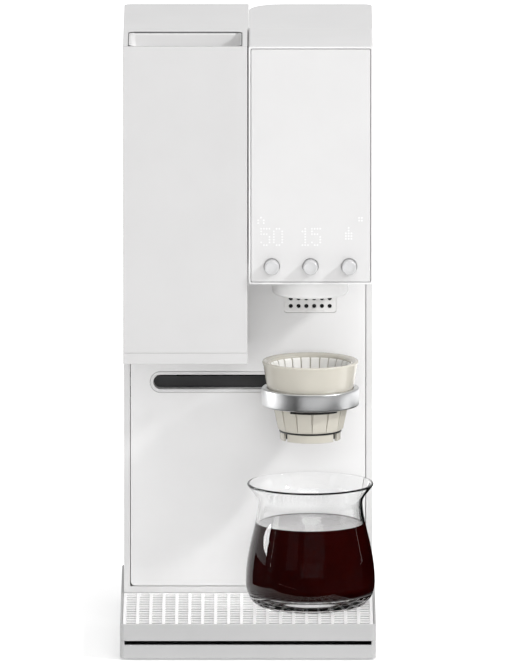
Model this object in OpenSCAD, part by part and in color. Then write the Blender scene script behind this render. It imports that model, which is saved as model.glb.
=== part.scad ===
// Automatic pour-over coffee maker: a grinder box and a brew head reach out over a bay, and a ring arm
// carries the dripper along a slot from the grinder to the spout. The front is -Y, the right is +X and
// up is +Z. The origin is at the middle of the underside of the feet.

/* [Overall] */
// Width of the base, left to right
base_w = 180; // [176:1:210]
// Depth of the base, front to back
base_d = 234; // [228:1:270]
// Height of the top above the table
total_h = 431; // [425:1:480]
// How far the base stands out past the column on each side
base_margin = 2; // [0.5:0.5:5]
// Depth of the column behind the bay
column_d = 110; // [106:1:124]
// Distance from the bay wall to the axis of the spout and the grinder
pour_reach = 48; // [46:1:54]
// Distance from that axis to the front of the two boxes
front_reach = 34; // [34:1:44]
// Gap between the grinder box and the brew head
box_gap = 0.8; // [0.4:0.1:2]

/* [Base] */
// Height of the feet under the base
foot_h = 1.5; // [1:0.5:4]
// Radius of a foot
foot_r = 8; // [5:0.5:12]
// Depth of the seat that holds a foot
foot_seat = 1.2; // [0.6:0.1:1.6]
// Distance from the base's edges to a foot's centre
foot_inset = 20; // [14:1:30]
// Height of the base pan up to the shadow gap
pan_h = 9.6; // [8.6:0.1:14]
// Height of the shadow gap
gap_h = 2.9; // [2:0.1:5]
// Wall of the base pan
pan_wall = 3; // [2:0.5:5]
// Floor of the base pan
pan_floor = 2.6; // [2.2:0.1:4]
// Corner radius of the base, seen from above
base_round = 3; // [2:0.5:8]
// Thickness of the weighing platform
scale_t = 2; // [1.5:0.5:3]
// Margin between the edge of the base and the platform
scale_margin = 12; // [8:1:25]
// Length of the load cell
cell_l = 80; // [60:5:100]
// Width of the load cell
cell_w = 14; // [10:1:20]
// Height of the pads under and over the ends of the load cell
cell_pad = 1; // [0.5:0.25:2]
// Length of each pad
cell_end = 15; // [10:1:20]
// Wall and top of the rear deck
deck_wall = 3; // [2:0.5:5]
// Radius of the hole for the wires through the rear deck
wire_hole_r = 9; // [5:0.5:12]

/* [Drip tray] */
// Height of the drip tray
tray_h = 11.9; // [10:0.1:20]
// Wall of the tray beside the grate
tray_wall = 1.6; // [1.2:0.1:3]
// Floor of the tray
tray_floor = 1.8; // [1.2:0.1:3]
// Width of the ledge that carries the grate
ledge_w = 2.4; // [1.5:0.1:4]
// Thickness of the grate
grate_t = 1.2; // [0.8:0.1:2.5]
// Distance from one grate bar to the next
grate_pitch = 9.3; // [8:0.1:14]
// Width of the bars that run from front to back
bar_long = 2.1; // [1.2:0.1:3]
// Width of the bars that run across
bar_cross = 1.4; // [1:0.1:3]
// Gap between the tray and the column
tray_gap = 0.5; // [0.3:0.1:1.5]

/* [Column] */
// Side walls of the column
col_wall = 4.4; // [3.5:0.1:6]
// Back wall of the column
col_back = 4; // [3.5:0.1:6]
// Top and tank bay walls of the column
col_top = 3; // [2:0.5:4]
// Floor of the column
col_floor = 4.5; // [3:0.5:8]
// Corner radius of the column at the back
col_round = 6; // [3:0.5:12]
// Thickness of the bay panel
panel_t = 3; // [2.5:0.1:4]
// Groove around the bay panel
panel_groove = 0.5; // [0.3:0.1:1]
// Corner radius of the bay panel
panel_round = 3; // [1:0.5:6]
// Height of the space for the water tank
tank_bay_h = 113; // [100:1:120]
// Width of the back cover
cover_w = 124; // [110:1:140]
// Height of the back cover
cover_h = 210; // [190:1:230]
// Height of the cover's lower edge above the floor of the column
cover_rise = 36; // [32:1:40]
// Thickness of the back cover
cover_t = 2; // [1.5:0.1:2.5]
// Ledge that the back cover lies on
cover_ledge = 7; // [6:0.5:9]
// Width of the power inlet
inlet_w = 27; // [27:0.5:32]
// Height of the power inlet
inlet_h = 20; // [20:0.5:24]
// Distance from the column's right side to the middle of the power inlet
inlet_side = 38; // [34:1:48]
// Width of the main board
board_w = 66; // [56:1:72]

/* [Slot and ring arm] */
// Height of the slot
slot_h = 10.4; // [9:0.1:13]
// How far the slot runs past the arm's two places
slot_past = 23; // [18:1:28]
// Border of the slot trim
slot_border = 2.3; // [1.5:0.1:4]
// Depth of the slot to its dark back
slot_deep = 8.5; // [6:0.5:10]
// Thickness of the dark back plate
slot_back_t = 2; // [1.5:0.5:3]
// Outer radius of the ring
ring_r = 34.4; // [33:0.2:38]
// Height of the ring
ring_h = 12.6; // [10.6:0.2:16]
// Rounding of the ring's outer edges
ring_edge = 1.2; // [0.5:0.1:3]
// Width of the arm in the slot
arm_w = 24; // [16:1:32]
// Thickness of the blade that passes over the dark back
blade_t = 1.6; // [1.2:0.1:2.4]
// Clearance round the arm in the slot
arm_clear = 0.4; // [0.3:0.1:0.6]
// Depth of the dripper's seat under the top of the ring
seat_depth = 5; // [4:0.5:7]
// Width of the carriage along the slot
carriage_w = 36; // [30:1:40]
// Depth of the carriage, front to back
carriage_d = 27; // [26:1:30]
// Height of the carriage
carriage_h = 26; // [24:1:30]
// Radius of the guide rods
rod_r = 3; // [2.5:0.1:4]
// Radius of the lead screw
screw_r = 4; // [3:0.1:4.5]
// Width of the carriage motor
step_w = 20; // [18:1:22]
// Length of the carriage motor
step_l = 18; // [16:1:20]

/* [Dripper] */
// Gap between the dripper's rim and the grinder box above it
drip_gap = 3; // [2:0.5:6]
// Height of the dripper
drip_h = 56.2; // [52:0.2:64]
// Height of the rim above the ring
drip_rise = 19.2; // [16:0.2:24]
// Outer radius of the rim
drip_rim_r = 34; // [32:0.2:36]
// Outer radius of the skirt at the seat
drip_seat_r = 29.6; // [28.6:0.1:29.8]
// Outer radius of the cone just under the seat
drip_cone_r = 26.6; // [24:0.1:27]
// Outer radius of the cone at its lower end
drip_end_r = 23.6; // [22:0.1:25]
// Outer radius of the foot ring
drip_foot_r = 21.5; // [19:0.1:21.8]
// Height of the foot ring
drip_foot_h = 7; // [5:0.5:9]
// Wall of the dripper
drip_wall = 2; // [1.6:0.1:3]
// Width of the notches in the foot ring
drip_notch = 3; // [2:0.5:5]
// Angle from the front, and from the back, to a notch
drip_notch_turn = 57; // [40:1:70]

/* [Carafe] */
// Height of the carafe
carafe_h = 86.5; // [80:0.5:95]
// Radius of the flat underside
carafe_foot_r = 33; // [28:0.5:36]
// Radius of the belly
carafe_belly_r = 45.7; // [42:0.1:45.8]
// Height of the widest place
carafe_belly_z = 17.5; // [15:0.5:26]
// Radius of the neck
carafe_neck_r = 37; // [32:0.1:40]
// Height of the neck
carafe_neck_z = 73.5; // [60:0.5:75]
// Radius of the rim
carafe_rim_r = 44.5; // [40:0.1:45.5]
// Glass thickness of the wall
glass_t = 1.8; // [1.4:0.1:3]
// Glass thickness of the floor
glass_floor = 8.5; // [4:0.5:10]

/* [Grinder box] */
// Height of the grinder box
grinder_h = 226.5; // [215:0.5:240]
// Height of the plain band under the front panel
band_h = 7.9; // [6:0.1:12]
// Thickness of the front panel
front_t = 3; // [2:0.2:3]
// Walls of the grinder box
box_wall = 3; // [2.4:0.1:3.4]
// Width of the rim left and right of the hopper
well_side = 3.6; // [3.5:0.1:6]
// Width of the top strip behind the hopper
well_back = 14.5; // [10:0.5:20]
// Corner radius of the hopper
well_round = 4.5; // [3:0.5:8]
// Wall of the hopper
hopper_wall = 1.6; // [1.2:0.1:2.5]
// Depth of the hopper's straight part
hopper_straight = 14; // [8:1:20]
// Depth from the top to the burr spider
hopper_deep = 62; // [54:1:70]
// Inner radius of the hopper's throat
throat_r = 20; // [17:0.5:22]

/* [Burrs and drive] */
// Module of the gear teeth
gear_m = 1; // [0.98:0.01:1.02]
// Teeth on the burr carrier
carrier_teeth = 54; // [54:2:56]
// Teeth on the motor pinion
pinion_teeth = 18; // [17:1:18]
// Thickness of the gear
gear_t = 8; // [6:0.5:10]
// Thickness of the burr frame
frame_t = 8; // [6:0.5:12]
// Height of the burr case between the frame and the spider
case_h = 44; // [42:1:50]
// Wall of the burr case
case_wall = 1.8; // [1.2:0.1:1.8]
// Thickness of the burr spider
spider_t = 3; // [2:0.5:5]
// Radius of the carrier's journal
journal_r = 19; // [18.5:0.1:20]
// Inner radius of the grounds chute
chute_r = 15.5; // [14:0.1:16]
// Wall of the grounds chute
chute_wall = 2; // [1.5:0.1:3]
// Outer radius of the outer burr
burr_r = 23; // [22:0.1:23]
// Height of the outer burr
burr_h = 16; // [14:0.5:18]
// Gap between the two burrs at their lower edge
burr_gap = 0.6; // [0.4:0.1:1]
// Radius of the pin that holds the inner burr
pin_r = 4; // [3:0.1:5]
// Radius of the grinder motor
motor_r = 14; // [12:0.5:14]
// Length of the grinder motor
motor_l = 66; // [50:1:80]
// Radius of the motor shaft
motor_shaft_r = 2; // [1.5:0.1:2.5]

/* [Brew head] */
// Height of the brew head
head_h = 169.5; // [150:0.5:180]
// Wall of the brew head, seen as the frame of the fascia
head_wall = 1.5; // [1.4:0.1:3]
// Gap round the fascia
fascia_gap = 0.4; // [0.2:0.1:0.8]
// Thickness of the fascia
fascia_t = 3; // [2.6:0.1:4]
// Distance from knob to knob
knob_pitch = 27.2; // [24:0.1:28]
// Height of the knobs above the head's lower edge
knob_rise = 13; // [12.5:0.1:18]
// Radius of a knob
knob_r = 5.1; // [4.5:0.1:7]
// Length of a knob in front of the fascia
knob_l = 8.6; // [6:0.1:12]
// Gap round a knob in its recess
recess_gap = 0.6; // [0.4:0.1:1.5]
// Depth of that recess
recess_deep = 1.6; // [1.5:0.1:1.8]
// Travel of a knob when it is pushed in
push_travel = 0.8; // [0.4:0.1:1]
// Radius of a knob's shaft
shaft_r = 2.5; // [2:0.1:3]
// Width of an encoder body
encoder_w = 12; // [11:0.5:14]
// Depth of an encoder body
encoder_d = 5.7; // [5.5:0.1:7]
// Radius of the spout housing
spout_r = 27; // [24:0.5:30]
// How far the spout housing hangs below the head
spout_drop = 12; // [8:0.5:14]
// Distance from the spout's axis to its water inlet
spout_inlet = 18; // [17:0.5:19]
// Radius of the spout motor
spout_motor_r = 10; // [8:0.5:11]
// Height of the spout motor
spout_motor_h = 18; // [14:1:22]

/* [Vent and fan] */
// Rows of vent holes
vent_rows = 3; // [2:1:4]
// Columns of vent holes
vent_cols = 6; // [4:1:6]
// Distance from vent hole to vent hole
vent_pitch = 5.5; // [5:0.1:5.8]
// Radius of a vent hole
vent_r = 1.5; // [1:0.1:1.8]
// Margin of the vent plate round its holes
vent_margin = 4.6; // [4:0.1:5]
// Thickness of the vent plate
vent_t = 1.6; // [1:0.1:2]
// Drop of the vent plate's middle under the head
vent_drop = 24; // [22:0.5:30]
// Width of the fan
fan_w = 40; // [40:1:44]
// Depth of the fan
fan_d = 10; // [10:0.5:15]
// Blades of the fan
fan_blades = 7; // [5:2:9]

/* [Water] */
// Wall of the water tank
tank_wall = 2.2; // [1.6:0.1:3]
// Radius of the tank's inner rear corner
tank_round = 25; // [12:1:32]
// Gap between the tank and the walls of its bay
tank_gap = 0.5; // [0.3:0.1:1]
// Thickness of the tank lid
lid_t = 4; // [3:0.5:6]
// Depth of the lid's skirt in the tank
lid_skirt = 5; // [3:0.5:8]
// Radius of the tank's outlet
outlet_r = 7; // [5:0.5:8]
// Radius of the pump
pump_r = 20; // [17:0.5:22]
// Height of the pump
pump_h = 72; // [60:1:80]
// Radius of the heater
heater_r = 23; // [20:0.5:24]
// Height of the heater
heater_h = 104; // [90:1:110]
// Outer radius of a hose
hose_r = 4.5; // [4:0.1:5]
// Wall of a hose
hose_wall = 1.4; // [1:0.1:1.8]
// Bend radius of a hose
hose_bend = 14; // [12:1:16]
// Length of a hose nipple
nipple_l = 8; // [6:0.5:10]

/* [Hidden] */
$fn = 64;
// Overshoot of a cut, seat clearance, running clearance and press clearance
cut = 1;
seat_fit = 0.2;
run_fit = 0.05;
press_fit = 0.02;
// Clearance between pieces that pass each other
pass_gap = 0.3;
corner_steps = 6;
curve_steps = 8;

white = [0.88, 0.88, 0.87];
base_grey = [0.79, 0.79, 0.79];
dark_grey = [0.24, 0.24, 0.25];
black = [0.1, 0.1, 0.1];
cream = [0.88, 0.86, 0.8];
aluminium = [0.72, 0.73, 0.74];
steel = [0.6, 0.61, 0.63];
brass = [0.75, 0.62, 0.34];
rubber = [0.2, 0.2, 0.2];
glass = [0.85, 0.9, 0.92, 0.4];
board_green = [0.1, 0.32, 0.2];

// Plan of the machine
x_base = base_w / 2;
x_body = x_base - base_margin;
y_front = -base_d / 2;
y_back = base_d / 2;
y_bay = y_back - column_d;
y_pour = y_bay - pour_reach;
y_box = y_pour - front_reach;
x_pour = x_body / 2;
x_grind = -x_pour;
x_box = box_gap / 2;

// Heights of the base
z_pan_floor = foot_h + pan_floor;
z_pan1 = foot_h + pan_h;
z_tray0 = z_pan1 + gap_h;
z_deck = z_tray0 + tray_h;
z_scale0 = z_tray0 - scale_t;
y_tray1 = y_bay - tray_gap;
y_tray_mid = (y_front + y_bay) / 2;
foot_places = [for (x = [-1, 1]) for (y = [-1, 1]) [x * (x_base - foot_inset), y * (y_back - foot_inset)]];

// Column
x_cav = x_body - col_wall;
y_cav1 = y_back - col_back;
z_cav0 = z_deck + col_floor;
z_shelf1 = total_h - tank_bay_h;
z_shelf0 = z_shelf1 - col_top;
x_panel = x_cav - panel_groove;
z_panel0 = z_cav0 + panel_groove;
z_panel1 = z_shelf0 - panel_groove;
z_cover0 = z_cav0 + cover_rise;
z_cover1 = z_cover0 + cover_h;
x_inlet = x_body - inlet_side;
z_inlet = z_cav0 + cover_rise / 2;
screw_r_head = 2.6;
screw_r_shank = 1.4;
screw_places = [for (x = [-1, 1]) for (z = [0, 0.5, 1])
    [x * (cover_w - cover_ledge) / 2, z_cover0 + cover_ledge / 2 + z * (cover_h - cover_ledge)]];

// Boxes
z_grind0 = total_h - grinder_h;
z_band1 = z_grind0 + band_h;
z_head0 = total_h - head_h;
x_well0 = -x_body + well_side;
x_well1 = -x_box - well_side;
y_well0 = y_box + front_t;
y_well1 = y_bay - well_back;

// Dripper, ring and slot
z_drip1 = z_grind0 - drip_gap;
z_drip0 = z_drip1 - drip_h;
z_ring1 = z_drip1 - drip_rise;
z_ring0 = z_ring1 - ring_h;
z_seat = z_ring1 - seat_depth;
drip_at_ring = drip_seat_r + (drip_rim_r - drip_seat_r) * seat_depth / (seat_depth + drip_rise);
ring_bore = drip_at_ring + pass_gap;
ring_lip = drip_cone_r + pass_gap;
z_slot1 = z_ring1 + arm_clear;
z_slot0 = z_slot1 - slot_h;
x_slot = x_pour + slot_past;
y_slot_back = y_bay + slot_deep;
z_blade0 = z_ring1 - blade_t;
y_carriage0 = y_slot_back + slot_back_t + 1.5;
y_carriage1 = y_carriage0 + carriage_d;
z_carriage0 = z_blade0 - carriage_h;
y_rod = y_carriage0 + rod_r + 2.5;
z_rods = [z_blade0 - rod_r - 3, z_carriage0 + rod_r + 3];
y_screw = y_carriage1 - screw_r - 3.5;
z_screw = (z_blade0 + z_carriage0) / 2;

// Grinder stack, from the top down
z_spider1 = total_h - hopper_deep;
z_spider0 = z_spider1 - spider_t;
z_frame1 = z_spider0 - case_h;
z_frame0 = z_frame1 - frame_t;
z_gear0 = z_frame1 + pass_gap;
z_gear1 = z_gear0 + gear_t;
z_burr0 = z_gear1 + 4;
z_burr1 = z_burr0 + burr_h;
gear_tip = gear_m * (carrier_teeth / 2 + 1);
case_in = gear_tip + 0.8;
case_out = case_in + case_wall;
gear_reach = gear_m * (carrier_teeth + pinion_teeth) / 2 + 0.1;
motor_room = x_body - box_wall - motor_r - pass_gap - x_pour;
mesh_angle = 180 - acos(min(cos(45), motor_room / gear_reach));
x_motor = x_grind + gear_reach * cos(mesh_angle);
y_motor = y_pour + gear_reach * sin(mesh_angle);
burr_ring = 5.4;
burr_land = 4;
burr_flare = 3;
inner_burr_r = burr_r - burr_ring - burr_gap;

// Head, knobs and spout
z_knob = z_head0 + knob_rise;
x_knobs = [x_pour - knob_pitch, x_pour, x_pour + knob_pitch];
y_fascia1 = y_box + fascia_t;
y_board0 = y_fascia1 + encoder_d;
board_t = 1.6;
bush_r = shaft_r + 1.5;
push_rest = 0.4;
knob_in = recess_deep - push_travel - push_rest;
recess_r = knob_r + recess_gap;
y_shaft1 = y_fascia1 + encoder_d / 2 - 0.4;
plunger_t = 1;
z_spout0 = z_head0 - spout_drop;
neck_r = 8;
neck_wall = 2;
spout_wall = 2;
spout_lip = 5;
spout_plate = 3;
spout_stem_r = 2.5;
spout_stem_l = 10;
z_neck1 = z_head0 + head_wall + 5;

// Vent and fan
z_vent = z_head0 - vent_drop;
vent_w = (vent_cols - 1) * vent_pitch + 2 * vent_margin;
vent_h = (vent_rows - 1) * vent_pitch + 2 * vent_margin;
fan_r = fan_w / 2 - 1.5;
fan_hub_r = 9;
y_fan0 = y_bay + panel_t;

// Water
x_tank0 = x_box + tank_gap;
y_tank0 = y_bay + col_top + tank_gap;
z_tank1 = total_h - lid_t;
y_hose_back = y_back - 30;
y_hose_front = y_hose_back - 18;
z_run_back = 205;
nipple_r = hose_r - hose_wall - press_fit;
x_hose = x_pour + spout_inlet;
x_heater = x_hose - 12;
y_heater = (y_hose_back + y_hose_front) / 2;
z_pump1 = z_cav0 + pump_h;
z_heater1 = z_cav0 + heater_h;
z_run_front = z_heater1 + nipple_l + hose_bend + 8;
z_run_head = z_head0 + 29;
seal_t = 2;
seat_wall = 3;
nipple_wall = 1;
outlet_l = 4;
heater_flange = 3;
z_seat0 = z_shelf0 - outlet_l - seat_wall - 2;

// Points along an arc
function arc(cx, cy, r, a0, a1, n) = [
    for (i = [0:n]) let (a = a0 + (a1 - a0) * i / n) [cx + r * cos(a), cy + r * sin(a)]
];

// One corner of an outline: an arc, or a sharp point where the radius is 0
function corner(cx, cy, r, a0) = r > 0 ? arc(cx, cy, r, a0, a0 + 90, corner_steps) : [[cx, cy]];

// Outline of a box whose corners are rounded: right-back, left-back, left-front, right-front
function outline(x0, y0, x1, y1, r) = concat(
    corner(x1 - r[0], y1 - r[0], r[0], 0),
    corner(x0 + r[1], y1 - r[1], r[1], 90),
    corner(x0 + r[2], y0 + r[2], r[2], 180),
    corner(x1 - r[3], y0 + r[3], r[3], 270)
);

// Points along a cubic curve, without its first point
function curve(a, b, c, d) = [
    for (i = [1:curve_steps])
        let (t = i / curve_steps, s = 1 - t)
            s * s * s * a + 3 * s * s * t * b + 3 * s * t * t * c + t * t * t * d
];

// Half the angle of a gear tooth at radius r, with a little backlash
function roll(r, base) = r > base ? sqrt(r * r / base / base - 1) : 0;
function involute_angle(r, base) = roll(r, base) * 180 / PI - atan(roll(r, base));
function tooth_half(r, teeth, m) =
    let (pitch_r = m * teeth / 2, base = pitch_r * cos(20), backlash = 0.06)
        90 / teeth - backlash / pitch_r * 180 / PI
            + involute_angle(pitch_r, base) - involute_angle(r, base);

// Outline of a spur gear with a tooth at angle 0
function gear_outline(teeth, m) =
    let (root = m * (teeth / 2 - 1.25), tip = m * (teeth / 2 + 1), base = m * teeth / 2 * cos(20))
        [
            for (k = [0:teeth - 1])
                for (p = concat(
                    [[root, -tooth_half(root, teeth, m)]],
                    [for (i = [0:4]) let (r = base + (tip - base) * i / 4) [r, -tooth_half(r, teeth, m)]],
                    [for (i = [4:-1:0]) let (r = base + (tip - base) * i / 4) [r, tooth_half(r, teeth, m)]],
                    [[root, tooth_half(root, teeth, m)]]
                ))
                    let (a = p[1] + k * 360 / teeth) p[0] * [cos(a), sin(a)]
        ];

// A box between two corners
module box(lo, hi) {
    translate(lo)
        cube(hi - lo);
}

// A box between two corners, its upright edges rounded
module slab(lo, hi, r) {
    translate([0, 0, lo[2]])
        linear_extrude(hi[2] - lo[2])
            polygon(outline(lo[0], lo[1], hi[0], hi[1], is_list(r) ? r : [r, r, r, r]));
}

// A standing plate between two corners, its edges along Y rounded
module upright(lo, hi, r) {
    translate([0, hi[1], 0])
        rotate([90, 0, 0])
            linear_extrude(hi[1] - lo[1])
                polygon(outline(lo[0], lo[2], hi[0], hi[2], [r, r, r, r]));
}

// A cylinder along X, Y or Z from a point
module rod_x(at, r, l) {
    translate(at)
        rotate([0, 90, 0])
            cylinder(r = r, h = l);
}
module rod_y(at, r, l) {
    translate(at)
        rotate([-90, 0, 0])
            cylinder(r = r, h = l);
}
module rod_z(at, r, l) {
    translate(at)
        cylinder(r = r, h = l);
}

// A turned piece from its half profile
module turned(at, profile) {
    translate(at)
        rotate_extrude()
            polygon(profile);
}

module base_pan() {
    color(base_grey) {
        difference() {
            slab([-x_base, y_front, foot_h], [x_base, y_back, z_tray0], base_round);
            box([-x_base + pan_wall, y_front + pan_wall, z_pan_floor],
                [x_base - pan_wall, y_back - pan_wall, z_tray0 + cut]);
            // The shadow gap across the front, closed at both ends
            box([-x_base + pan_wall, y_front - cut, z_pan1],
                [x_base - pan_wall, y_front + pan_wall + cut, z_tray0 + cut]);
            for (p = foot_places)
                rod_z([p[0], p[1], foot_h - cut], foot_r + seat_fit, foot_seat + cut);
        }
        // Pad under the fixed end of the load cell
        box([-cell_l / 2, y_tray_mid - cell_w / 2, z_pan_floor],
            [-cell_l / 2 + cell_end, y_tray_mid + cell_w / 2, z_pan_floor + cell_pad]);
    }
}

module feet() {
    edge = min(1, foot_h / 2);
    color(rubber)
        for (p = foot_places)
            turned([p[0], p[1], 0], [
                [0, 0], [foot_r - edge, 0], [foot_r, edge],
                [foot_r, foot_h + foot_seat], [0, foot_h + foot_seat]
            ]);
}

module scale_platform() {
    color(dark_grey) {
        slab([-x_base + scale_margin, y_front + scale_margin, z_scale0],
            [x_base - scale_margin, y_bay - scale_margin, z_tray0], base_round);
        // Pad over the free end of the load cell
        box([cell_l / 2 - cell_end, y_tray_mid - cell_w / 2, z_scale0 - cell_pad],
            [cell_l / 2, y_tray_mid + cell_w / 2, z_scale0]);
    }
}

module load_cell() {
    z0 = z_pan_floor + cell_pad;
    z1 = z_scale0 - cell_pad;
    eye_r = (z1 - z0) * 0.34;
    eye_x = cell_w * 0.45;
    color(aluminium)
        difference() {
            box([-cell_l / 2, y_tray_mid - cell_w / 2, z0], [cell_l / 2, y_tray_mid + cell_w / 2, z1]);
            // The two thinned places that bend under load
            for (s = [-1, 1])
                rod_y([s * eye_x, y_tray_mid - cell_w / 2 - cut, (z0 + z1) / 2], eye_r, cell_w + 2 * cut);
            box([-eye_x, y_tray_mid - cell_w / 2 - cut, (z0 + z1) / 2 - eye_r / 3],
                [eye_x, y_tray_mid + cell_w / 2 + cut, (z0 + z1) / 2 + eye_r / 3]);
        }
}

module rear_deck() {
    color(base_grey)
        difference() {
            slab([-x_base, y_bay, z_tray0], [x_base, y_back, z_deck], [base_round, base_round, 0, 0]);
            box([-x_base + deck_wall, y_bay + deck_wall, z_tray0 - cut],
                [x_base - deck_wall, y_back - deck_wall, z_deck - deck_wall]);
            rod_z([0, y_bay + column_d / 4, z_deck - deck_wall - cut], wire_hole_r, deck_wall + 2 * cut);
        }
}

module drip_tray() {
    inner = tray_wall + ledge_w;
    color(base_grey)
        difference() {
            slab([-x_base, y_front, z_tray0], [x_base, y_tray1, z_deck], [1, 1, base_round, base_round]);
            slab([-x_base + inner, y_front + inner, z_tray0 + tray_floor],
                [x_base - inner, y_tray1 - inner, z_deck + cut], 2);
            slab([-x_base + tray_wall, y_front + tray_wall, z_deck - grate_t],
                [x_base - tray_wall, y_tray1 - tray_wall, z_deck + cut], 1.6);
        }
}

module drip_grate() {
    edge = tray_wall + pass_gap;
    w = base_w - 2 * edge;
    d = y_tray1 - y_front - 2 * edge;
    cells_x = round((w - bar_long) / grate_pitch);
    cells_y = round((d - bar_cross) / grate_pitch);
    step_x = (w - bar_long) / cells_x;
    step_y = (d - bar_cross) / cells_y;
    color(white)
        translate([0, 0, z_deck - grate_t])
            linear_extrude(grate_t)
                difference() {
                    polygon(outline(-w / 2, y_front + edge, w / 2, y_front + edge + d, [1.4, 1.4, 1.4, 1.4]));
                    for (i = [0:cells_x - 1])
                        for (j = [0:cells_y - 1])
                            translate([
                                -w / 2 + bar_long + i * step_x,
                                y_front + edge + bar_cross + j * step_y
                            ])
                                square([step_x - bar_long, step_y - bar_cross]);
                }
}

module column_shell() {
    color(white)
        difference() {
            union() {
                difference() {
                    slab([-x_body, y_bay, z_deck], [x_body, y_back, total_h], [col_round, col_round, 0, 0]);
                    // Main cavity behind the bay panel
                    box([-x_cav, y_bay - cut, z_cav0], [x_cav, y_cav1, z_shelf0]);
                    // Upper left space behind the grinder
                    box([-x_cav, y_bay - cut, z_shelf0 - cut], [-x_box - col_top, y_cav1, total_h - col_top]);
                    // Tank bay, open to the right, the back and the top
                    box([x_box, y_bay + col_top, z_shelf1], [x_body + cut, y_back + cut, total_h + cut]);
                    // The tank lid covers the top of the bay's front wall
                    box([x_box, y_bay - cut, z_tank1 - pass_gap],
                        [x_body + cut, y_bay + col_top + cut, total_h + cut]);
                }
                // Bearing for the free end of the lead screw
                rod_x([x_cav - 7, y_screw, z_screw], screw_r + 4, 7 + col_wall / 2);
            }
            rod_x([x_cav - 7 - cut, y_screw, z_screw], screw_r + run_fit, 7 + 2 * cut);
            // Outlet of the tank
            rod_z([x_pour, y_hose_back, z_shelf0 - cut], outlet_r + seat_wall, col_top + 2 * cut);
            // Opening for service, with a rebate for the back cover
            upright([-cover_w / 2 - seat_fit, y_back - cover_t, z_cover0 - seat_fit],
                [cover_w / 2 + seat_fit, y_back + cut, z_cover1 + seat_fit], 4);
            upright([-cover_w / 2 + cover_ledge, y_cav1 - cut, z_cover0 + cover_ledge],
                [cover_w / 2 - cover_ledge, y_back, z_cover1 - cover_ledge], 3);
            for (p = screw_places)
                rod_y([p[0], y_cav1 - cut, p[1]], screw_r_shank + press_fit, col_back);
            upright([x_inlet - inlet_w / 2 - seat_fit, y_cav1 - cut, z_inlet - inlet_h / 2 - seat_fit],
                [x_inlet + inlet_w / 2 + seat_fit, y_back + cut, z_inlet + inlet_h / 2 + seat_fit], 3);
            // Wires from the base
            rod_z([0, y_bay + column_d / 4, z_deck - cut], wire_hole_r, col_floor + 2 * cut);
        }
}

module bay_panel() {
    win_h = 34;
    color(white)
        difference() {
            upright([-x_panel, y_bay, z_panel0], [x_panel, y_bay + panel_t, z_panel1], panel_round);
            // Seat of the slot trim
            upright([-x_slot - slot_border - seat_fit, y_bay - cut, z_slot0 - slot_border - seat_fit],
                [x_slot + slot_border + seat_fit, y_bay + panel_t + cut, z_slot1 + slot_border + seat_fit],
                slot_border);
            // Seat of the vent plate and the opening behind it
            upright([x_pour - vent_w / 2 - seat_fit, y_bay - cut, z_vent - vent_h / 2 - seat_fit],
                [x_pour + vent_w / 2 + seat_fit, y_bay + vent_t, z_vent + vent_h / 2 + seat_fit], 2);
            upright([x_pour - vent_w / 2 + 2, y_bay, z_vent - vent_h / 2 + 2],
                [x_pour + vent_w / 2 - 2, y_bay + panel_t + cut, z_vent + vent_h / 2 - 2], 1);
            // Ways for wires and the hose into the two boxes
            for (x = [x_grind, x_pour])
                upright([x - x_pour * 0.7, y_bay - cut, z_run_head - win_h / 2],
                    [x + x_pour * 0.7, y_bay + panel_t + cut, z_run_head + win_h / 2], 3);
        }
}

module slot_trim() {
    color(white)
        difference() {
            upright([-x_slot - slot_border, y_bay - 0.3, z_slot0 - slot_border],
                [x_slot + slot_border, y_slot_back, z_slot1 + slot_border], slot_border);
            upright([-x_slot, y_bay - cut, z_slot0], [x_slot, y_slot_back + cut, z_slot1], 1);
        }
}

module slot_back() {
    color(dark_grey)
        upright([-x_slot - slot_border, y_slot_back, z_slot0 - slot_border],
            [x_slot + slot_border, y_slot_back + slot_back_t, z_blade0 - arm_clear], 1);
}

module vent_plate() {
    color(white)
        difference() {
            upright([x_pour - vent_w / 2, y_bay, z_vent - vent_h / 2],
                [x_pour + vent_w / 2, y_bay + vent_t, z_vent + vent_h / 2], 2);
            for (i = [0:vent_cols - 1])
                for (j = [0:vent_rows - 1])
                    rod_y([
                        x_pour + (i - (vent_cols - 1) / 2) * vent_pitch,
                        y_bay - cut,
                        z_vent + (j - (vent_rows - 1) / 2) * vent_pitch
                    ], vent_r, vent_t + 2 * cut);
        }
}

module fan_frame() {
    stay_w = 4;
    stay_t = 1.6;
    y1 = y_fan0 + fan_d;
    color(black)
        difference() {
            union() {
                difference() {
                    upright([x_pour - fan_w / 2, y_fan0, z_vent - fan_w / 2],
                        [x_pour + fan_w / 2, y1, z_vent + fan_w / 2], 3);
                    rod_y([x_pour, y_fan0 - cut, z_vent], fan_r, fan_d + 2 * cut);
                }
                // Stays that carry the hub's bearing at the back
                for (a = [0, 120, 240])
                    translate([x_pour, y1 - stay_t, z_vent])
                        rotate([0, a, 0])
                            box([-stay_w / 2, 0, 0], [stay_w / 2, stay_t, fan_r + 0.5]);
                rod_y([x_pour, y1 - stay_t, z_vent], fan_hub_r, stay_t);
            }
            rod_y([x_pour, y1 - stay_t - cut, z_vent], 1.5 + run_fit, stay_t + 2 * cut);
        }
}

module fan_rotor() {
    y0 = y_fan0 + 0.8;
    y1 = y_fan0 + fan_d - 1.6 - 0.4;
    blade_l = fan_r - fan_hub_r - 0.4;
    color(black)
        translate([x_pour, y0, z_vent])
            rotate([-90, 0, 0]) {
                cylinder(r = fan_hub_r, h = y1 - y0);
                cylinder(r = 1.5, h = y1 - y0 + 1.6);
                for (k = [0:fan_blades - 1])
                    rotate([0, 0, k * 360 / fan_blades])
                        translate([fan_hub_r - 0.5, 0, (y1 - y0) / 2])
                            rotate([38, 0, 0])
                                translate([0, -(y1 - y0) * 0.55, -0.5])
                                    cube([blade_l, (y1 - y0) * 1.1, 1]);
            }
}

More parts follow.
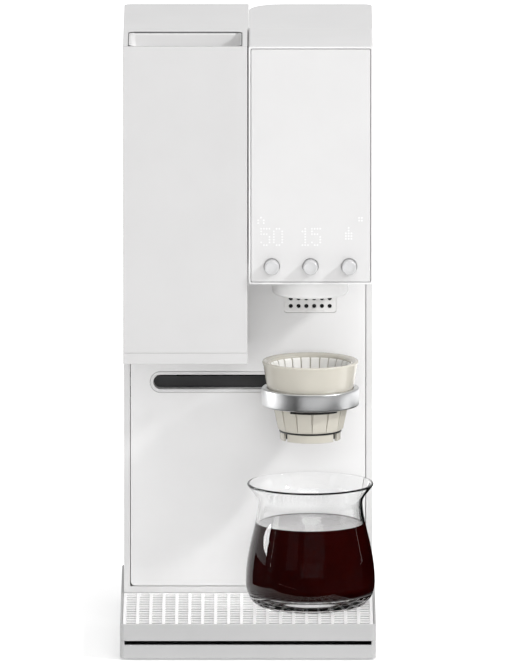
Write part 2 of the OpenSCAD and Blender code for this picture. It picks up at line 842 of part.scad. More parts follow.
module back_cover() {
    slot_n = 9;
    slot_pitch = 8;
    color(white)
        difference() {
            upright([-cover_w / 2, y_back - cover_t, z_cover0], [cover_w / 2, y_back, z_cover1], 4);
            // Two fields of louvre slots
            for (z = [z_cover0 + cover_h * 0.18, z_cover1 - cover_h * 0.32])
                for (i = [0:slot_n - 1])
                    upright([
                        (i - (slot_n - 1) / 2) * slot_pitch - 1.5, y_back - cover_t - cut, z
                    ], [
                        (i - (slot_n - 1) / 2) * slot_pitch + 1.5, y_back + cut, z + cover_h * 0.14
                    ], 1.2);
            for (p = screw_places) {
                rod_y([p[0], y_back - cover_t - cut, p[1]], screw_r_shank + seat_fit, cover_t + 2 * cut);
                rod_y([p[0], y_back - cover_t * 0.6, p[1]], screw_r_head + seat_fit, cover_t);
            }
        }
}

module cover_screws() {
    y_head = y_back - cover_t * 0.6;
    color(steel)
        for (p = screw_places) {
            difference() {
                rod_y([p[0], y_head, p[1]], screw_r_head, cover_t * 0.5);
                for (a = [0, 90])
                    translate([p[0], y_head + cover_t * 0.25, p[1]])
                        rotate([0, a, 0])
                            box([-screw_r_head * 0.6, 0, -0.35], [screw_r_head * 0.6, cover_t, 0.35]);
            }
            rod_y([p[0], y_cav1 + 0.5, p[1]], screw_r_shank, y_head - y_cav1 - 0.5);
        }
}

module power_inlet() {
    deep = 15;
    y0 = y_back - deep - 3;
    rim = 2;
    color(black) {
        difference() {
            upright([x_inlet - inlet_w / 2, y0, z_inlet - inlet_h / 2],
                [x_inlet + inlet_w / 2, y_back - 0.4, z_inlet + inlet_h / 2], 3);
            upright([x_inlet - inlet_w / 2 + rim, y_back - deep, z_inlet - inlet_h / 2 + rim],
                [x_inlet + inlet_w / 2 - rim, y_back + cut, z_inlet + inlet_h / 2 - rim], 2);
        }
        // Two flat pins side by side and the earth pin above them
        for (p = [[-7, -2], [7, -2], [0, 2]])
            box([x_inlet + p[0] - 1, y_back - deep, z_inlet + p[1] - 2],
                [x_inlet + p[0] + 1, y_back - 3, z_inlet + p[1] + 2]);
    }
}

module main_board() {
    standoff = 7;
    standoff_r = 2.5;
    corner_in = 4;
    chip = board_w * 0.24;
    can_r = board_w * 0.075;
    can_l = 9;
    y1 = y_back - cover_t - standoff;
    x0 = -cover_w / 2 + cover_ledge + corner_in;
    x1 = x0 + board_w;
    z0 = z_cover0 + cover_h * 0.4;
    z1 = z_cover1 - cover_ledge - corner_in;
    y_face = y1 - board_t;
    color(board_green) {
        box([x0, y_face, z0], [x1, y1, z1]);
        // Stand-offs on the back cover
        for (x = [x0 + corner_in, x1 - corner_in])
            for (z = [z0 + corner_in, z1 - corner_in])
                rod_y([x, y1, z], standoff_r, standoff);
        // Chips, a relay and capacitors
        box([x0 + chip * 0.6, y_face - 2, z0 + chip * 1.2], [x0 + chip * 1.6, y_face, z0 + chip * 2.2]);
        box([x0 + chip * 2.1, y_face - can_l, z0 + chip * 0.7], [x0 + chip * 3.4, y_face, z0 + chip * 1.7]);
        for (i = [1:3])
            rod_y([x0 + i * can_r * 2.8, y_face - can_l, z1 - can_r * 3.6], can_r, can_l);
    }
}

module power_supply() {
    w = 34;
    d = 48;
    h = 76;
    room = 4;
    y1 = y_cav1 - room;
    x0 = x_heater - heater_r - heater_flange - room - w;
    fins = 6;
    fin_pitch = w / (fins + 1);
    z_fins = z_cav0 + h * 0.8;
    color(steel)
        difference() {
            box([x0, y1 - d, z_cav0], [x0 + w, y1, z_cav0 + h]);
            for (i = [1:fins])
                box([x0 + (i - 0.2) * fin_pitch, y1 - d - cut, z_fins],
                    [x0 + (i + 0.2) * fin_pitch, y1 + cut, z_cav0 + h + cut]);
        }
}

module water_tank() {
    r_out = [col_round, tank_round, 3, 3];
    r_in = [col_round - tank_wall, tank_round - tank_wall, 1.5, 1.5];
    color(glass)
        difference() {
            union() {
                slab([x_tank0, y_tank0, z_shelf1], [x_body, y_back, z_tank1], r_out);
                rod_z([x_pour, y_hose_back, z_shelf0 - outlet_l], outlet_r, col_top + outlet_l);
            }
            slab([x_tank0 + tank_wall, y_tank0 + tank_wall, z_shelf1 + tank_wall],
                [x_body - tank_wall, y_back - tank_wall, z_tank1 + cut], r_in);
            rod_z([x_pour, y_hose_back, z_shelf0 - outlet_l - cut], outlet_r - seat_wall,
                col_top + outlet_l + tank_wall + 2 * cut);
        }
}

module tank_lid() {
    inset = tank_wall + pass_gap;
    r_top = [col_round, tank_round, 1, 1];
    r_skirt = [col_round - tank_wall, tank_round - tank_wall, 1.2, 1.2];
    color(white) {
        slab([x_box + pass_gap, y_bay + pass_gap, z_tank1], [x_body, y_back, total_h], r_top);
        difference() {
            slab([x_tank0 + inset, y_tank0 + inset, z_tank1 - lid_skirt],
                [x_body - inset, y_back - inset, z_tank1], r_skirt);
            slab([x_tank0 + inset + 2, y_tank0 + inset + 2, z_tank1 - lid_skirt - cut],
                [x_body - inset - 2, y_back - inset - 2, z_tank1], r_skirt);
        }
    }
}

module tank_seat() {
    bore = outlet_r + pass_gap;
    cup_r = outlet_r + seat_wall;
    flange_r = cup_r + 5;
    way_r = nipple_r - nipple_wall;
    color(black)
        turned([x_pour, y_hose_back, 0], [
            [way_r, z_seat0 - nipple_l], [nipple_r, z_seat0 - nipple_l], [nipple_r, z_seat0],
            [cup_r, z_seat0], [cup_r, z_shelf0 - seat_wall], [flange_r, z_shelf0 - seat_wall],
            [flange_r, z_shelf0], [bore, z_shelf0], [bore, z_seat0 + seat_wall], [way_r, z_seat0 + seat_wall]
        ]);
}

module tank_seal() {
    color(rubber)
        turned([x_pour, y_hose_back, z_shelf0], [
            [outlet_r + pass_gap, 0], [outlet_r + seat_wall - seat_fit, 0],
            [outlet_r + seat_wall - seat_fit, seal_t], [outlet_r + pass_gap, seal_t]
        ]);
}

module pump() {
    color(dark_grey) {
        turned([x_grind, y_heater, z_cav0], [
            [0, 0], [pump_r + 4, 0], [pump_r + 4, 4], [pump_r, 4], [pump_r, pump_h * 0.55],
            [pump_r - 2, pump_h * 0.58], [pump_r - 2, pump_h * 0.66], [pump_r, pump_h * 0.69],
            [pump_r, pump_h - 4], [pump_r - 4, pump_h], [0, pump_h]
        ]);
        for (y = [y_hose_front, y_hose_back])
            rod_z([x_grind, y, z_pump1 - 2], nipple_r, nipple_l + 2);
    }
}

module heater() {
    color(steel) {
        turned([x_heater, y_heater, z_cav0], [
            [0, 0], [heater_r + heater_flange, 0], [heater_r + heater_flange, 3], [heater_r - 2, 3],
            [heater_r - 2, heater_h * 0.3],
            [heater_r, heater_h * 0.32], [heater_r, heater_h * 0.78], [heater_r - 2, heater_h * 0.8],
            [heater_r - 2, heater_h - 5], [heater_r - 7, heater_h], [0, heater_h]
        ]);
        for (x = [x_heater - 12, x_heater + 12])
            rod_z([x, y_hose_front, z_heater1 - 5], nipple_r, nipple_l + 5);
    }
}

// A straight length of hose from the origin up along Z, and a quarter bend from the origin towards +X
module hose_length(l) {
    linear_extrude(l)
        difference() {
            circle(r = hose_r);
            circle(r = hose_r - hose_wall);
        }
}
module hose_quarter() {
    translate([hose_bend, 0, 0])
        rotate([90, 0, 180])
            rotate_extrude(angle = 90)
                translate([hose_bend, 0])
                    difference() {
                        circle(r = hose_r);
                        circle(r = hose_r - hose_wall);
                    }
}

// Three hoses: tank to pump, pump to heater, heater to spout
module hoses() {
    z_seat_end = z_seat0 - nipple_l;
    color(rubber) {
        // Down from the tank seat, across and down to the pump
        translate([x_pour, y_hose_back, 0]) {
            translate([0, 0, z_run_back + hose_bend])
                hose_length(z_seat_end + 6 - z_run_back - hose_bend);
            translate([0, 0, z_run_back + hose_bend])
                rotate([0, 180, 0])
                    hose_quarter();
            translate([-hose_bend, 0, z_run_back])
                rotate([0, -90, 0])
                    hose_length(x_pour - x_grind - 2 * hose_bend);
        }
        translate([x_grind, y_hose_back, 0]) {
            translate([0, 0, z_run_back - hose_bend])
                hose_quarter();
            translate([0, 0, z_pump1 + 1])
                hose_length(z_run_back - hose_bend - z_pump1 - 1);
        }
        // Up from the pump, across and down to the heater
        translate([x_grind, y_hose_front, 0]) {
            translate([0, 0, z_pump1 + 1])
                hose_length(z_run_front - hose_bend - z_pump1 - 1);
            translate([0, 0, z_run_front - hose_bend])
                hose_quarter();
            translate([hose_bend, 0, z_run_front])
                rotate([0, 90, 0])
                    hose_length(x_heater - 12 - x_grind - 2 * hose_bend);
        }
        translate([x_heater - 12, y_hose_front, 0]) {
            translate([0, 0, z_run_front - hose_bend])
                rotate([0, 0, 180])
                    hose_quarter();
            translate([0, 0, z_heater1 + 1])
                hose_length(z_run_front - hose_bend - z_heater1 - 1);
        }
        // Up from the heater, forward through the bay panel and down to the spout
        translate([x_hose, y_hose_front, 0]) {
            translate([0, 0, z_heater1 + 1])
                hose_length(z_run_head - hose_bend - z_heater1 - 1);
            translate([0, 0, z_run_head - hose_bend])
                rotate([0, 0, -90])
                    hose_quarter();
            translate([0, -hose_bend, z_run_head])
                rotate([90, 0, 0])
                    hose_length(y_hose_front - y_pour - 2 * hose_bend);
        }
        translate([x_hose, y_pour, 0]) {
            translate([0, 0, z_run_head - hose_bend])
                rotate([0, 0, 90])
                    hose_quarter();
            translate([0, 0, z_neck1])
                hose_length(z_run_head - hose_bend - z_neck1);
        }
    }
}

module grinder_housing() {
    color(white)
        difference() {
            box([-x_body, y_box + front_t, z_band1], [-x_box, y_bay, total_h]);
            // Open to the front, the back and below
            box([-x_body + box_wall, y_box, z_band1 - cut],
                [-x_box - box_wall, y_bay + cut, total_h - col_top]);
            slab([x_well0, y_well0 - well_round * 2, total_h - col_top - cut],
                [x_well1, y_well1, total_h + cut], well_round);
        }
}

module grinder_front() {
    color(white)
        upright([-x_body, y_box, z_band1], [-x_box, y_box + front_t, total_h], 0.8);
}

module lower_band() {
    floor_t = 2.5;
    color(white)
        difference() {
            box([-x_body, y_box, z_grind0], [-x_box, y_bay, z_band1]);
            box([-x_body + box_wall, y_box + box_wall, z_grind0 + floor_t],
                [-x_box - box_wall, y_bay - box_wall, z_band1 + cut]);
            rod_z([x_grind, y_pour, z_grind0 - cut], chute_r + chute_wall + 2, band_h);
        }
}

// The hopper's form: a straight well that runs down into a round throat, grown inwards by t
module hopper_form(t, over) {
    z_well = total_h - hopper_straight;
    lo = [x_well0 + seat_fit + t, y_well0 + seat_fit + t];
    hi = [x_well1 - seat_fit - t, y_well1 - seat_fit - t];
    r = well_round - t;
    slab([lo[0], lo[1], z_well], [hi[0], hi[1], total_h + over], r);
    hull() {
        slab([lo[0], lo[1], z_well - 0.1], [hi[0], hi[1], z_well], r);
        rod_z([x_grind, y_pour, z_spider1 + 4], throat_r + hopper_wall - t, 0.1, $fn = 32);
    }
    rod_z([x_grind, y_pour, z_spider1 - over], throat_r + hopper_wall - t, 4 + over, $fn = 32);
}

module hopper() {
    color(white)
        difference() {
            hopper_form(0, 0);
            hopper_form(hopper_wall, cut);
        }
}

module burr_spider() {
    arms = 3;
    arm = 5;
    hub = pin_r + 2.5;
    color(aluminium) {
        translate([x_grind, y_pour, z_spider0])
            linear_extrude(spider_t)
                difference() {
                    circle(r = case_out);
                    // Openings for the beans between the arms
                    difference() {
                        circle(r = throat_r - 1);
                        circle(r = hub);
                        for (k = [0:arms - 1])
                            rotate(k * 360 / arms)
                                translate([0, -arm / 2])
                                    square([throat_r, arm]);
                    }
                }
        // Boss and pin that hold the inner burr still
        rod_z([x_grind, y_pour, z_burr1 + 8], hub, z_spider0 - z_burr1 - 8);
        rod_z([x_grind, y_pour, z_burr0 - 2], pin_r, z_burr1 + 10 - z_burr0);
    }
}

// Slanted teeth round a burr: cuts at radius r, from z0 up
module burr_cuts(n, r, z0, h, lean, w) {
    for (k = [0:n - 1])
        translate([x_grind, y_pour, z0])
            rotate([0, 0, k * 360 / n])
                translate([r, 0, 0])
                    rotate([lean, 0, 45])
                        box([-w / 2, -w / 2, -h], [w / 2, w / 2, h]);
}

module inner_burr() {
    color(steel)
        difference() {
            turned([x_grind, y_pour, 0], [
                [pin_r + press_fit, z_burr0], [inner_burr_r, z_burr0], [inner_burr_r, z_burr0 + burr_land],
                [8, z_burr1 + 8], [pin_r + press_fit, z_burr1 + 8]
            ]);
            burr_cuts(9, inner_burr_r, z_burr1, burr_h * 1.4, -18, 5);
        }
}

module outer_burr() {
    r_in = inner_burr_r + burr_gap;
    color(steel)
        difference() {
            turned([x_grind, y_pour, 0], [
                [r_in, z_burr0], [burr_r, z_burr0], [burr_r, z_burr1],
                [r_in + burr_flare, z_burr1], [r_in, z_burr0 + burr_land]
            ]);
            burr_cuts(15, r_in + 2, z_burr1, burr_h * 0.5, 12, 2);
        }
}

module burr_carrier() {
    cup_wall = 2;
    cup_rise = 4;
    z_journal = z_frame0 + 0.5;
    z_cup1 = z_burr1 + cup_rise;
    color(brass)
        difference() {
            union() {
                translate([x_grind, y_pour, z_gear0])
                    rotate([0, 0, mesh_angle])
                        linear_extrude(gear_t)
                            polygon(gear_outline(carrier_teeth, gear_m));
                rod_z([x_grind, y_pour, z_journal], journal_r, z_gear0 + cut - z_journal);
                rod_z([x_grind, y_pour, z_gear1 - cut], burr_r + cup_wall, z_cup1 + cut - z_gear1);
            }
            // Seat of the outer burr, and the way down for the grounds
            turned([x_grind, y_pour, 0], [
                [0, z_journal - cut], [chute_r, z_journal - cut], [chute_r, z_gear0 + 2],
                [inner_burr_r + burr_gap, z_burr0], [burr_r + press_fit, z_burr0],
                [burr_r + press_fit, z_cup1 + cut], [0, z_cup1 + cut]
            ]);
        }
}

module burr_case() {
    pinion_tip = gear_m * (pinion_teeth / 2 + 1);
    window = 1;
    color(dark_grey)
        difference() {
            rod_z([x_grind, y_pour, z_frame1], case_out, case_h);
            rod_z([x_grind, y_pour, z_frame1 - cut], case_in, case_h + 2 * cut);
            // Window where the pinion reaches the gear
            rod_z([x_motor, y_motor, z_frame1 - cut], pinion_tip + window, z_gear1 - z_frame1 + window + cut);
        }
}

module burr_frame() {
    color(aluminium)
        difference() {
            box([-x_body + box_wall, y_box + front_t, z_frame0], [-x_box - box_wall, y_bay - 2, z_frame1]);
            rod_z([x_grind, y_pour, z_frame0 - cut], journal_r + run_fit, frame_t + 2 * cut);
            rod_z([x_motor, y_motor, z_frame0 - cut], motor_shaft_r + 1, frame_t + 2 * cut);
        }
}

module motor_pinion() {
    color(brass)
        translate([x_motor, y_motor, 0]) {
            translate([0, 0, z_gear0])
                rotate([0, 0, mesh_angle + 180 + 180 / pinion_teeth])
                    linear_extrude(gear_t)
                        polygon(gear_outline(pinion_teeth, gear_m));
            // Motor shaft
            rod_z([0, 0, z_frame0 - 12], motor_shaft_r, z_gear0 - z_frame0 + 12);
        }
}

module grinder_motor() {
    color(steel)
        difference() {
            turned([x_motor, y_motor, z_frame0 - motor_l], [
                [0, 0], [motor_r * 0.4, 0], [motor_r * 0.4, 2], [motor_r - 2, 2], [motor_r, 4],
                [motor_r, motor_l - 3], [motor_r - 1, motor_l], [0, motor_l]
            ]);
            rod_z([x_motor, y_motor, z_frame0 - 13], motor_shaft_r + run_fit, 13 + cut);
        }
}

module grounds_chute() {
    r_out = chute_r + chute_wall;
    z0 = z_grind0 + 0.5;
    color(dark_grey)
        difference() {
            union() {
                rod_z([x_grind, y_pour, z0], r_out, z_frame0 - z0);
                // Flange under the burr frame, cut round the motor
                difference() {
                    rod_z([x_grind, y_pour, z_frame0 - 3], journal_r + 5, 3);
                    rod_z([x_motor, y_motor, z_frame0 - 3 - cut], motor_r + 0.5, 3 + 2 * cut);
                }
            }
            rod_z([x_grind, y_pour, z0 - cut], chute_r, z_frame0 - z0 + 2 * cut);
        }
}

module head_housing() {
    seat = 7;
    color(white)
        difference() {
            union() {
                difference() {
                    upright([x_box, y_box, z_head0], [x_body, y_bay, total_h], 1.5);
                    upright([x_box + head_wall, y_box - cut, z_head0 + head_wall],
                        [x_body - head_wall, y_bay + cut, total_h - head_wall], 1);
                }
                // Corner blocks behind the fascia
                for (x = [x_box + head_wall, x_body - head_wall - seat])
                    for (z = [z_head0 + head_wall, total_h - head_wall - seat])
                        box([x, y_fascia1, z], [x + seat, y_fascia1 + seat, z + seat]);
            }
            rod_z([x_pour, y_pour, z_head0 - cut], neck_r + neck_wall + seat_fit, head_wall + 2 * cut);
            rod_z([x_hose, y_pour, z_head0 - cut], nipple_r + seat_fit, head_wall + 2 * cut);
        }
}

module fascia() {
    edge = head_wall + fascia_gap;
    color(white)
        difference() {
            upright([x_box + edge, y_box, z_head0 + edge], [x_body - edge, y_fascia1, total_h - edge], 1);
            for (x = x_knobs) {
                rod_y([x, y_box - cut, z_knob], recess_r, recess_deep + cut);
                rod_y([x, y_box, z_knob], bush_r + seat_fit, fascia_t + cut);
            }
        }
}

module display_board() {
    edge = 8;
    post_r = 2;
    lights_h = 22;
    lights_d = 3;
    z_lights = z_knob + encoder_w;
    z0 = z_head0 + head_wall + edge / 2;
    z1 = z_lights + lights_h + edge * 2;
    x0 = x_box + head_wall + edge;
    x1 = x_body - head_wall - edge;
    color(board_green) {
        box([x0, y_board0, z0], [x1, y_board0 + board_t, z1]);
        for (x = [x0 + post_r, x1 - post_r])
            rod_y([x, y_fascia1, z1 - post_r], post_r, encoder_d);
        // Light matrix behind the fascia and its driver
        box([x0 + edge, y_board0 - lights_d, z_lights], [x1 - edge, y_board0, z_lights + lights_h]);
        box([x_pour - edge, y_board0 + board_t, z_lights],
            [x_pour + edge, y_board0 + board_t + lights_d, z_lights + 2 * edge]);
    }
}

module encoders() {
    color(dark_grey)
        for (x = x_knobs)
            difference() {
                union() {
                    box([x - encoder_w / 2, y_fascia1, z_knob - encoder_w / 2],
                        [x + encoder_w / 2, y_board0, z_knob + encoder_w / 2]);
                    rod_y([x, y_box + recess_deep, z_knob], bush_r, fascia_t - recess_deep);
                }
                rod_y([x, y_box, z_knob], shaft_r + run_fit,
                    y_shaft1 + plunger_t + push_travel + push_rest - y_box);
            }
}

// A push-and-turn knob on its steel shaft
module knob(x) {
    edge = 0.7;
    bore_l = knob_l - 2;
    color(aluminium)
        translate([x, y_box + knob_in, z_knob])
            rotate([90, 0, 0]) {
                difference() {
                    turned([0, 0, 0], [
                        [0, 0], [knob_r - 0.3, 0], [knob_r, 0.3], [knob_r, knob_l + knob_in - edge],
                        [knob_r - edge, knob_l + knob_in], [0, knob_l + knob_in]
                    ]);
                    translate([0, 0, -cut])
                        cylinder(r = shaft_r + press_fit, h = bore_l + cut);
                }
                translate([0, 0, -(y_shaft1 - y_box - knob_in)])
                    cylinder(r = shaft_r, h = y_shaft1 - y_box - knob_in + bore_l);
            }
}
module knob_left() {
    knob(x_knobs[0]);
}
module knob_middle() {
    knob(x_knobs[1]);
}
module knob_right() {
    knob(x_knobs[2]);
}

// The button behind a knob's shaft
module plunger(x) {
    color(steel)
        rod_y([x, y_shaft1, z_knob], shaft_r, plunger_t);
}
module plunger_left() {
    plunger(x_knobs[0]);
}
module plunger_middle() {
    plunger(x_knobs[1]);
}
module plunger_right() {
    plunger(x_knobs[2]);
}

module spout_housing() {
    edge = 2.5;
    r_in = spout_r - spout_wall;
    z_plate = z_head0 - spout_plate;
    z_nipple1 = z_neck1 + 6;
    color(white)
        difference() {
            union() {
                turned([x_pour, y_pour, 0], concat(
                    [[spout_r - spout_lip, z_spout0], [spout_r - edge, z_spout0]],
                    arc(spout_r - edge, z_spout0 + edge, edge, -75, 0, 5),
                    [
                        [spout_r, z_head0], [neck_r + neck_wall, z_head0], [neck_r + neck_wall, z_neck1],
                        [neck_r, z_neck1], [neck_r, z_plate], [r_in, z_plate], [r_in, z_spout0 + spout_wall],
                        [spout_r - spout_lip, z_spout0 + spout_wall]
                    ]
                ));
                rod_z([x_hose, y_pour, z_head0 - 1], nipple_r, z_nipple1 - z_head0 + 1);
            }
            rod_z([x_hose, y_pour, z_plate - cut], nipple_r - nipple_wall, z_nipple1 - z_plate + 2 * cut);
        }
}

module spout_rotor() {
    disc_r = spout_r - spout_lip - 2;
    hub_r = neck_r - 1.5;
    nozzle_off = disc_r / 2;
    nozzle_r = 3;
    hole_r = 1.2;
    z0 = z_spout0 + spout_wall + 0.5;
    z1 = z_head0 - spout_plate - 1.5;
    z_hub1 = z_neck1 - 0.5;
    z_stem1 = z_neck1 + spout_stem_l;
    color(aluminium)
        difference() {
            union() {
                turned([x_pour, y_pour, 0], [
                    [0, z0], [disc_r - 1, z0], [disc_r, z0 + 1], [disc_r, z1], [hub_r, z1], [hub_r, z_hub1],
                    [spout_stem_r, z_hub1], [spout_stem_r, z_stem1], [0, z_stem1]
                ]);
                rod_z([x_pour + nozzle_off, y_pour, z_spout0 + 0.5], nozzle_r, z0 + 0.5 - z_spout0);
            }
            rod_z([x_pour + nozzle_off, y_pour, z_spout0 - cut], hole_r, z1 - z_spout0 + 2 * cut);
        }
}

module spout_motor() {
    color(steel)
        difference() {
            turned([x_pour, y_pour, z_neck1], [
                [0, 0], [spout_motor_r, 0], [spout_motor_r, spout_motor_h - 1],
                [spout_motor_r - 1, spout_motor_h], [0, spout_motor_h]
            ]);
            rod_z([x_pour, y_pour, z_neck1 - cut], spout_stem_r + run_fit, spout_stem_l + 1 + cut);
        }
}

module ring_arm() {
    color(aluminium)
        difference() {
            union() {
                turned([x_pour, y_pour, 0], concat(
                    [[ring_lip, z_ring0]],
                    arc(ring_r - ring_edge, z_ring0 + ring_edge, ring_edge, -90, 0, 4),
                    arc(ring_r - ring_edge, z_ring1 - ring_edge, ring_edge, 0, 90, 4),
                    [[ring_bore, z_ring1], [ring_bore, z_seat], [ring_lip, z_seat]]
                ));
                difference() {
                    // Arm through the slot, and the blade that goes over the dark back
                    union() {
                        box([x_pour - arm_w / 2, y_pour, z_slot0 + arm_clear],
                            [x_pour + arm_w / 2, y_slot_back - 1, z_ring1]);
                        box([x_pour - arm_w / 2, y_slot_back - 2, z_blade0],
                            [x_pour + arm_w / 2, y_carriage0 + 14, z_ring1]);
                    }
                    rod_z([x_pour, y_pour, z_ring0 - cut], ring_r - 1.5, ring_h + 2 * cut);
                }
            }
        }
}

module carriage() {
    color(dark_grey)
        difference() {
            box([x_pour - carriage_w / 2, y_carriage0, z_carriage0],
                [x_pour + carriage_w / 2, y_carriage1, z_blade0]);
            for (z = z_rods)
                rod_x([x_pour - carriage_w / 2 - cut, y_rod, z], rod_r + run_fit, carriage_w + 2 * cut);
            rod_x([x_pour - carriage_w / 2 - cut, y_screw, z_screw], screw_r + run_fit, carriage_w + 2 * cut);
        }
}

module guide_rods() {
    color(steel)
        for (z = z_rods)
            rod_x([-x_cav, y_rod, z], rod_r, 2 * x_cav);
}

module lead_screw() {
    x0 = -x_cav + step_l;
    color(steel) {
        rod_x([x0, y_screw, z_screw], screw_r, x_cav - pass_gap - x0);
        // Shaft in the motor
        rod_x([x0 - 8, y_screw, z_screw], screw_r / 2, 8);
    }
}

module carriage_motor() {
    color(dark_grey)
        difference() {
            box([-x_cav, y_screw - step_w / 2, z_screw - step_w / 2],
                [-x_cav + step_l - pass_gap, y_screw + step_w / 2, z_screw + step_w / 2]);
            rod_x([-x_cav + step_l - 9, y_screw, z_screw], screw_r / 2 + run_fit, 9 + cut);
        }
}

module dripper() {
    z_foot1 = z_drip0 + drip_foot_h;
    z_floor = z_foot1 + drip_wall;
    holes = 8;
    hole_r = 1.8;
    rim = 1;
    color(cream)
        difference() {
            turned([x_pour, y_pour, 0], concat(
                [
                    [0, z_foot1], [drip_foot_r - drip_wall, z_foot1], [drip_foot_r - drip_wall, z_drip0],
                    [drip_foot_r, z_drip0], [drip_foot_r, z_foot1], [drip_end_r, z_foot1],
                    [drip_cone_r, z_seat], [drip_seat_r, z_seat], [drip_rim_r, z_drip1 - rim]
                ],
                arc(drip_rim_r - rim, z_drip1 - rim, rim, 15, 90, 4),
                [
                    [drip_rim_r - drip_wall, z_drip1], [drip_cone_r - drip_wall + 0.4, z_seat],
                    [drip_end_r - drip_wall, z_floor], [0, z_floor]
                ]
            ));
            // Notches in the foot ring
            for (a = [-90, 90])
                for (s = [-1, 1])
                    translate([x_pour, y_pour, 0])
                        rotate([0, 0, a + s * drip_notch_turn])
                            box([drip_foot_r - 3 * drip_wall, -drip_notch / 2, z_drip0 - cut],
                                [drip_foot_r + cut, drip_notch / 2, z_foot1 - 1]);
            // Drain holes
            for (k = [0:holes])
                translate([x_pour, y_pour, 0])
                    rotate([0, 0, k * 360 / holes])
                        rod_z([k == holes ? 0 : drip_foot_r / 2, 0, z_foot1 - cut],
                            hole_r, drip_wall + 2 * cut);
        }
}

module carafe() {
    foot = [carafe_foot_r, 0];
    belly = [carafe_belly_r, carafe_belly_z];
    neck = [carafe_neck_r, carafe_neck_z];
    rim = [carafe_rim_r, carafe_h];
    rise = carafe_neck_z - carafe_belly_z;
    lip = carafe_h - carafe_neck_z;
    swell = carafe_belly_r - carafe_foot_r;
    flare = carafe_rim_r - carafe_neck_r;
    wall_curve = concat(
        curve(foot, foot + [swell * 0.6, 0], belly - [0, carafe_belly_z * 0.55], belly),
        curve(belly, belly + [0, rise * 0.41], neck - [0, rise * 0.25], neck),
        curve(neck, neck + [0, lip * 0.36], rim - [flare * 0.5, lip * 0.43], rim)
    );
    inside = [for (p = wall_curve) if (p[1] > carafe_belly_z) p - [glass_t, 0]];
    floor_in = [carafe_foot_r, glass_floor];
    belly_in = belly - [glass_t, 0];
    bowl = curve(
        floor_in, [(carafe_foot_r + belly_in[0]) / 2, glass_floor],
        belly_in - [0, (carafe_belly_z - glass_floor) / 2], belly_in
    );
    inner = concat([floor_in], bowl, inside);
    color(glass)
        turned([x_pour, y_pour, z_deck], concat(
            [[0, 0], foot],
            wall_curve,
            [for (i = [len(inner) - 1:-1:0]) inner[i]],
            [[0, glass_floor]]
        ));
}

base_pan();
feet();
scale_platform();
load_cell();
rear_deck();
drip_tray();
drip_grate();
column_shell();
bay_panel();
slot_trim();
slot_back();
vent_plate();
fan_frame();
fan_rotor();
back_cover();
cover_screws();
power_inlet();
main_board();
power_supply();
water_tank();
tank_lid();
tank_seat();
tank_seal();
pump();
heater();
hoses();
grinder_housing();
grinder_front();
lower_band();
hopper();
burr_spider();
inner_burr();
outer_burr();
burr_carrier();
burr_case();
burr_frame();
motor_pinion();
grinder_motor();
grounds_chute();
head_housing();
fascia();
display_board();
encoders();
knob_left();
knob_middle();
knob_right();
plunger_left();
plunger_middle();
plunger_right();
spout_housing();
spout_rotor();
spout_motor();
ring_arm();
carriage();
guide_rods();
lead_screw();
carriage_motor();
dripper();
carafe();
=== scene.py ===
import math

import bpy
from mathutils import Matrix, Vector


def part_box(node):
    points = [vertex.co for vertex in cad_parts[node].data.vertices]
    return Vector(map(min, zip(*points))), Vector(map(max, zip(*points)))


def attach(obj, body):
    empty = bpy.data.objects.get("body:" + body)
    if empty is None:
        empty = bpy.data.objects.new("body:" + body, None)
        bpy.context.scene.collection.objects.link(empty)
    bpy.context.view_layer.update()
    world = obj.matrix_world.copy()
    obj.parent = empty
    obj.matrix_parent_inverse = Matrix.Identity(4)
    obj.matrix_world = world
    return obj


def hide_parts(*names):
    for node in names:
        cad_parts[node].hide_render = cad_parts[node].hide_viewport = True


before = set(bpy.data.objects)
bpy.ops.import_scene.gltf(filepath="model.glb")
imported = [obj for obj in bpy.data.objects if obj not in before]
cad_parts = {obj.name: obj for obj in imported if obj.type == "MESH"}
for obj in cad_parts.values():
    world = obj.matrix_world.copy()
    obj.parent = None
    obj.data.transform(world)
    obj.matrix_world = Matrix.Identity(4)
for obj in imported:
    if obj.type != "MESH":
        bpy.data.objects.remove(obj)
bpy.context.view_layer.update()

# Camera: a very long lens far away, as for a catalogue picture, so that front and back keep one scale.
# It looks straight at the front of the machine from a little above.
MM = 0.001
picture_h = 670
picture_px_per_mm = 1.4188
camera_away = 16.5
camera_tilt = math.radians(9.81)
camera_aim = Vector((12.35, -60, 222.8)) * MM
lens = bpy.data.cameras.new("camera")
lens.sensor_width = 36
lens.lens = lens.sensor_width * camera_away / (picture_h / picture_px_per_mm * MM)
lens.clip_end = 100
camera = bpy.data.objects.new("camera", lens)
scene = bpy.context.scene
scene.collection.objects.link(camera)
camera.location = camera_aim + camera_away * Vector((0, -math.cos(camera_tilt), math.sin(camera_tilt)))
camera.rotation_euler = (math.pi / 2 - camera_tilt, 0, 0)
scene.camera = camera

# Studio: white paper under and behind the machine in a dim room. Wide boxes of light stand in front and
# overhead, a small lamp on the right throws shadows to the lower left, and a tall box stands on the left.
# Dark cards round the machine and one bright card far to the left show only in gloss and glass.
scene.view_settings.view_transform = "Standard"
room = bpy.data.worlds.new("room")
room.use_nodes = True
room_light = room.node_tree.nodes["Background"]
room_light.inputs["Color"].default_value = (1, 1, 1, 1)
room_light.inputs["Strength"].default_value = 0.6
scene.world = room
lit_point = Vector((0, 0, 0.25))


def lamp(name, at, width, height, power, mirrored=True):
    """A box of light, in metres and watts, that shines on the middle of the machine."""
    light = bpy.data.lights.new(name, "AREA")
    light.shape = "RECTANGLE"
    light.size = width
    light.size_y = height
    light.energy = power
    holder = bpy.data.objects.new(name, light)
    scene.collection.objects.link(holder)
    holder.location = at
    holder.rotation_euler = (lit_point - Vector(at)).to_track_quat("-Z", "Y").to_euler()
    holder.visible_glossy = mirrored


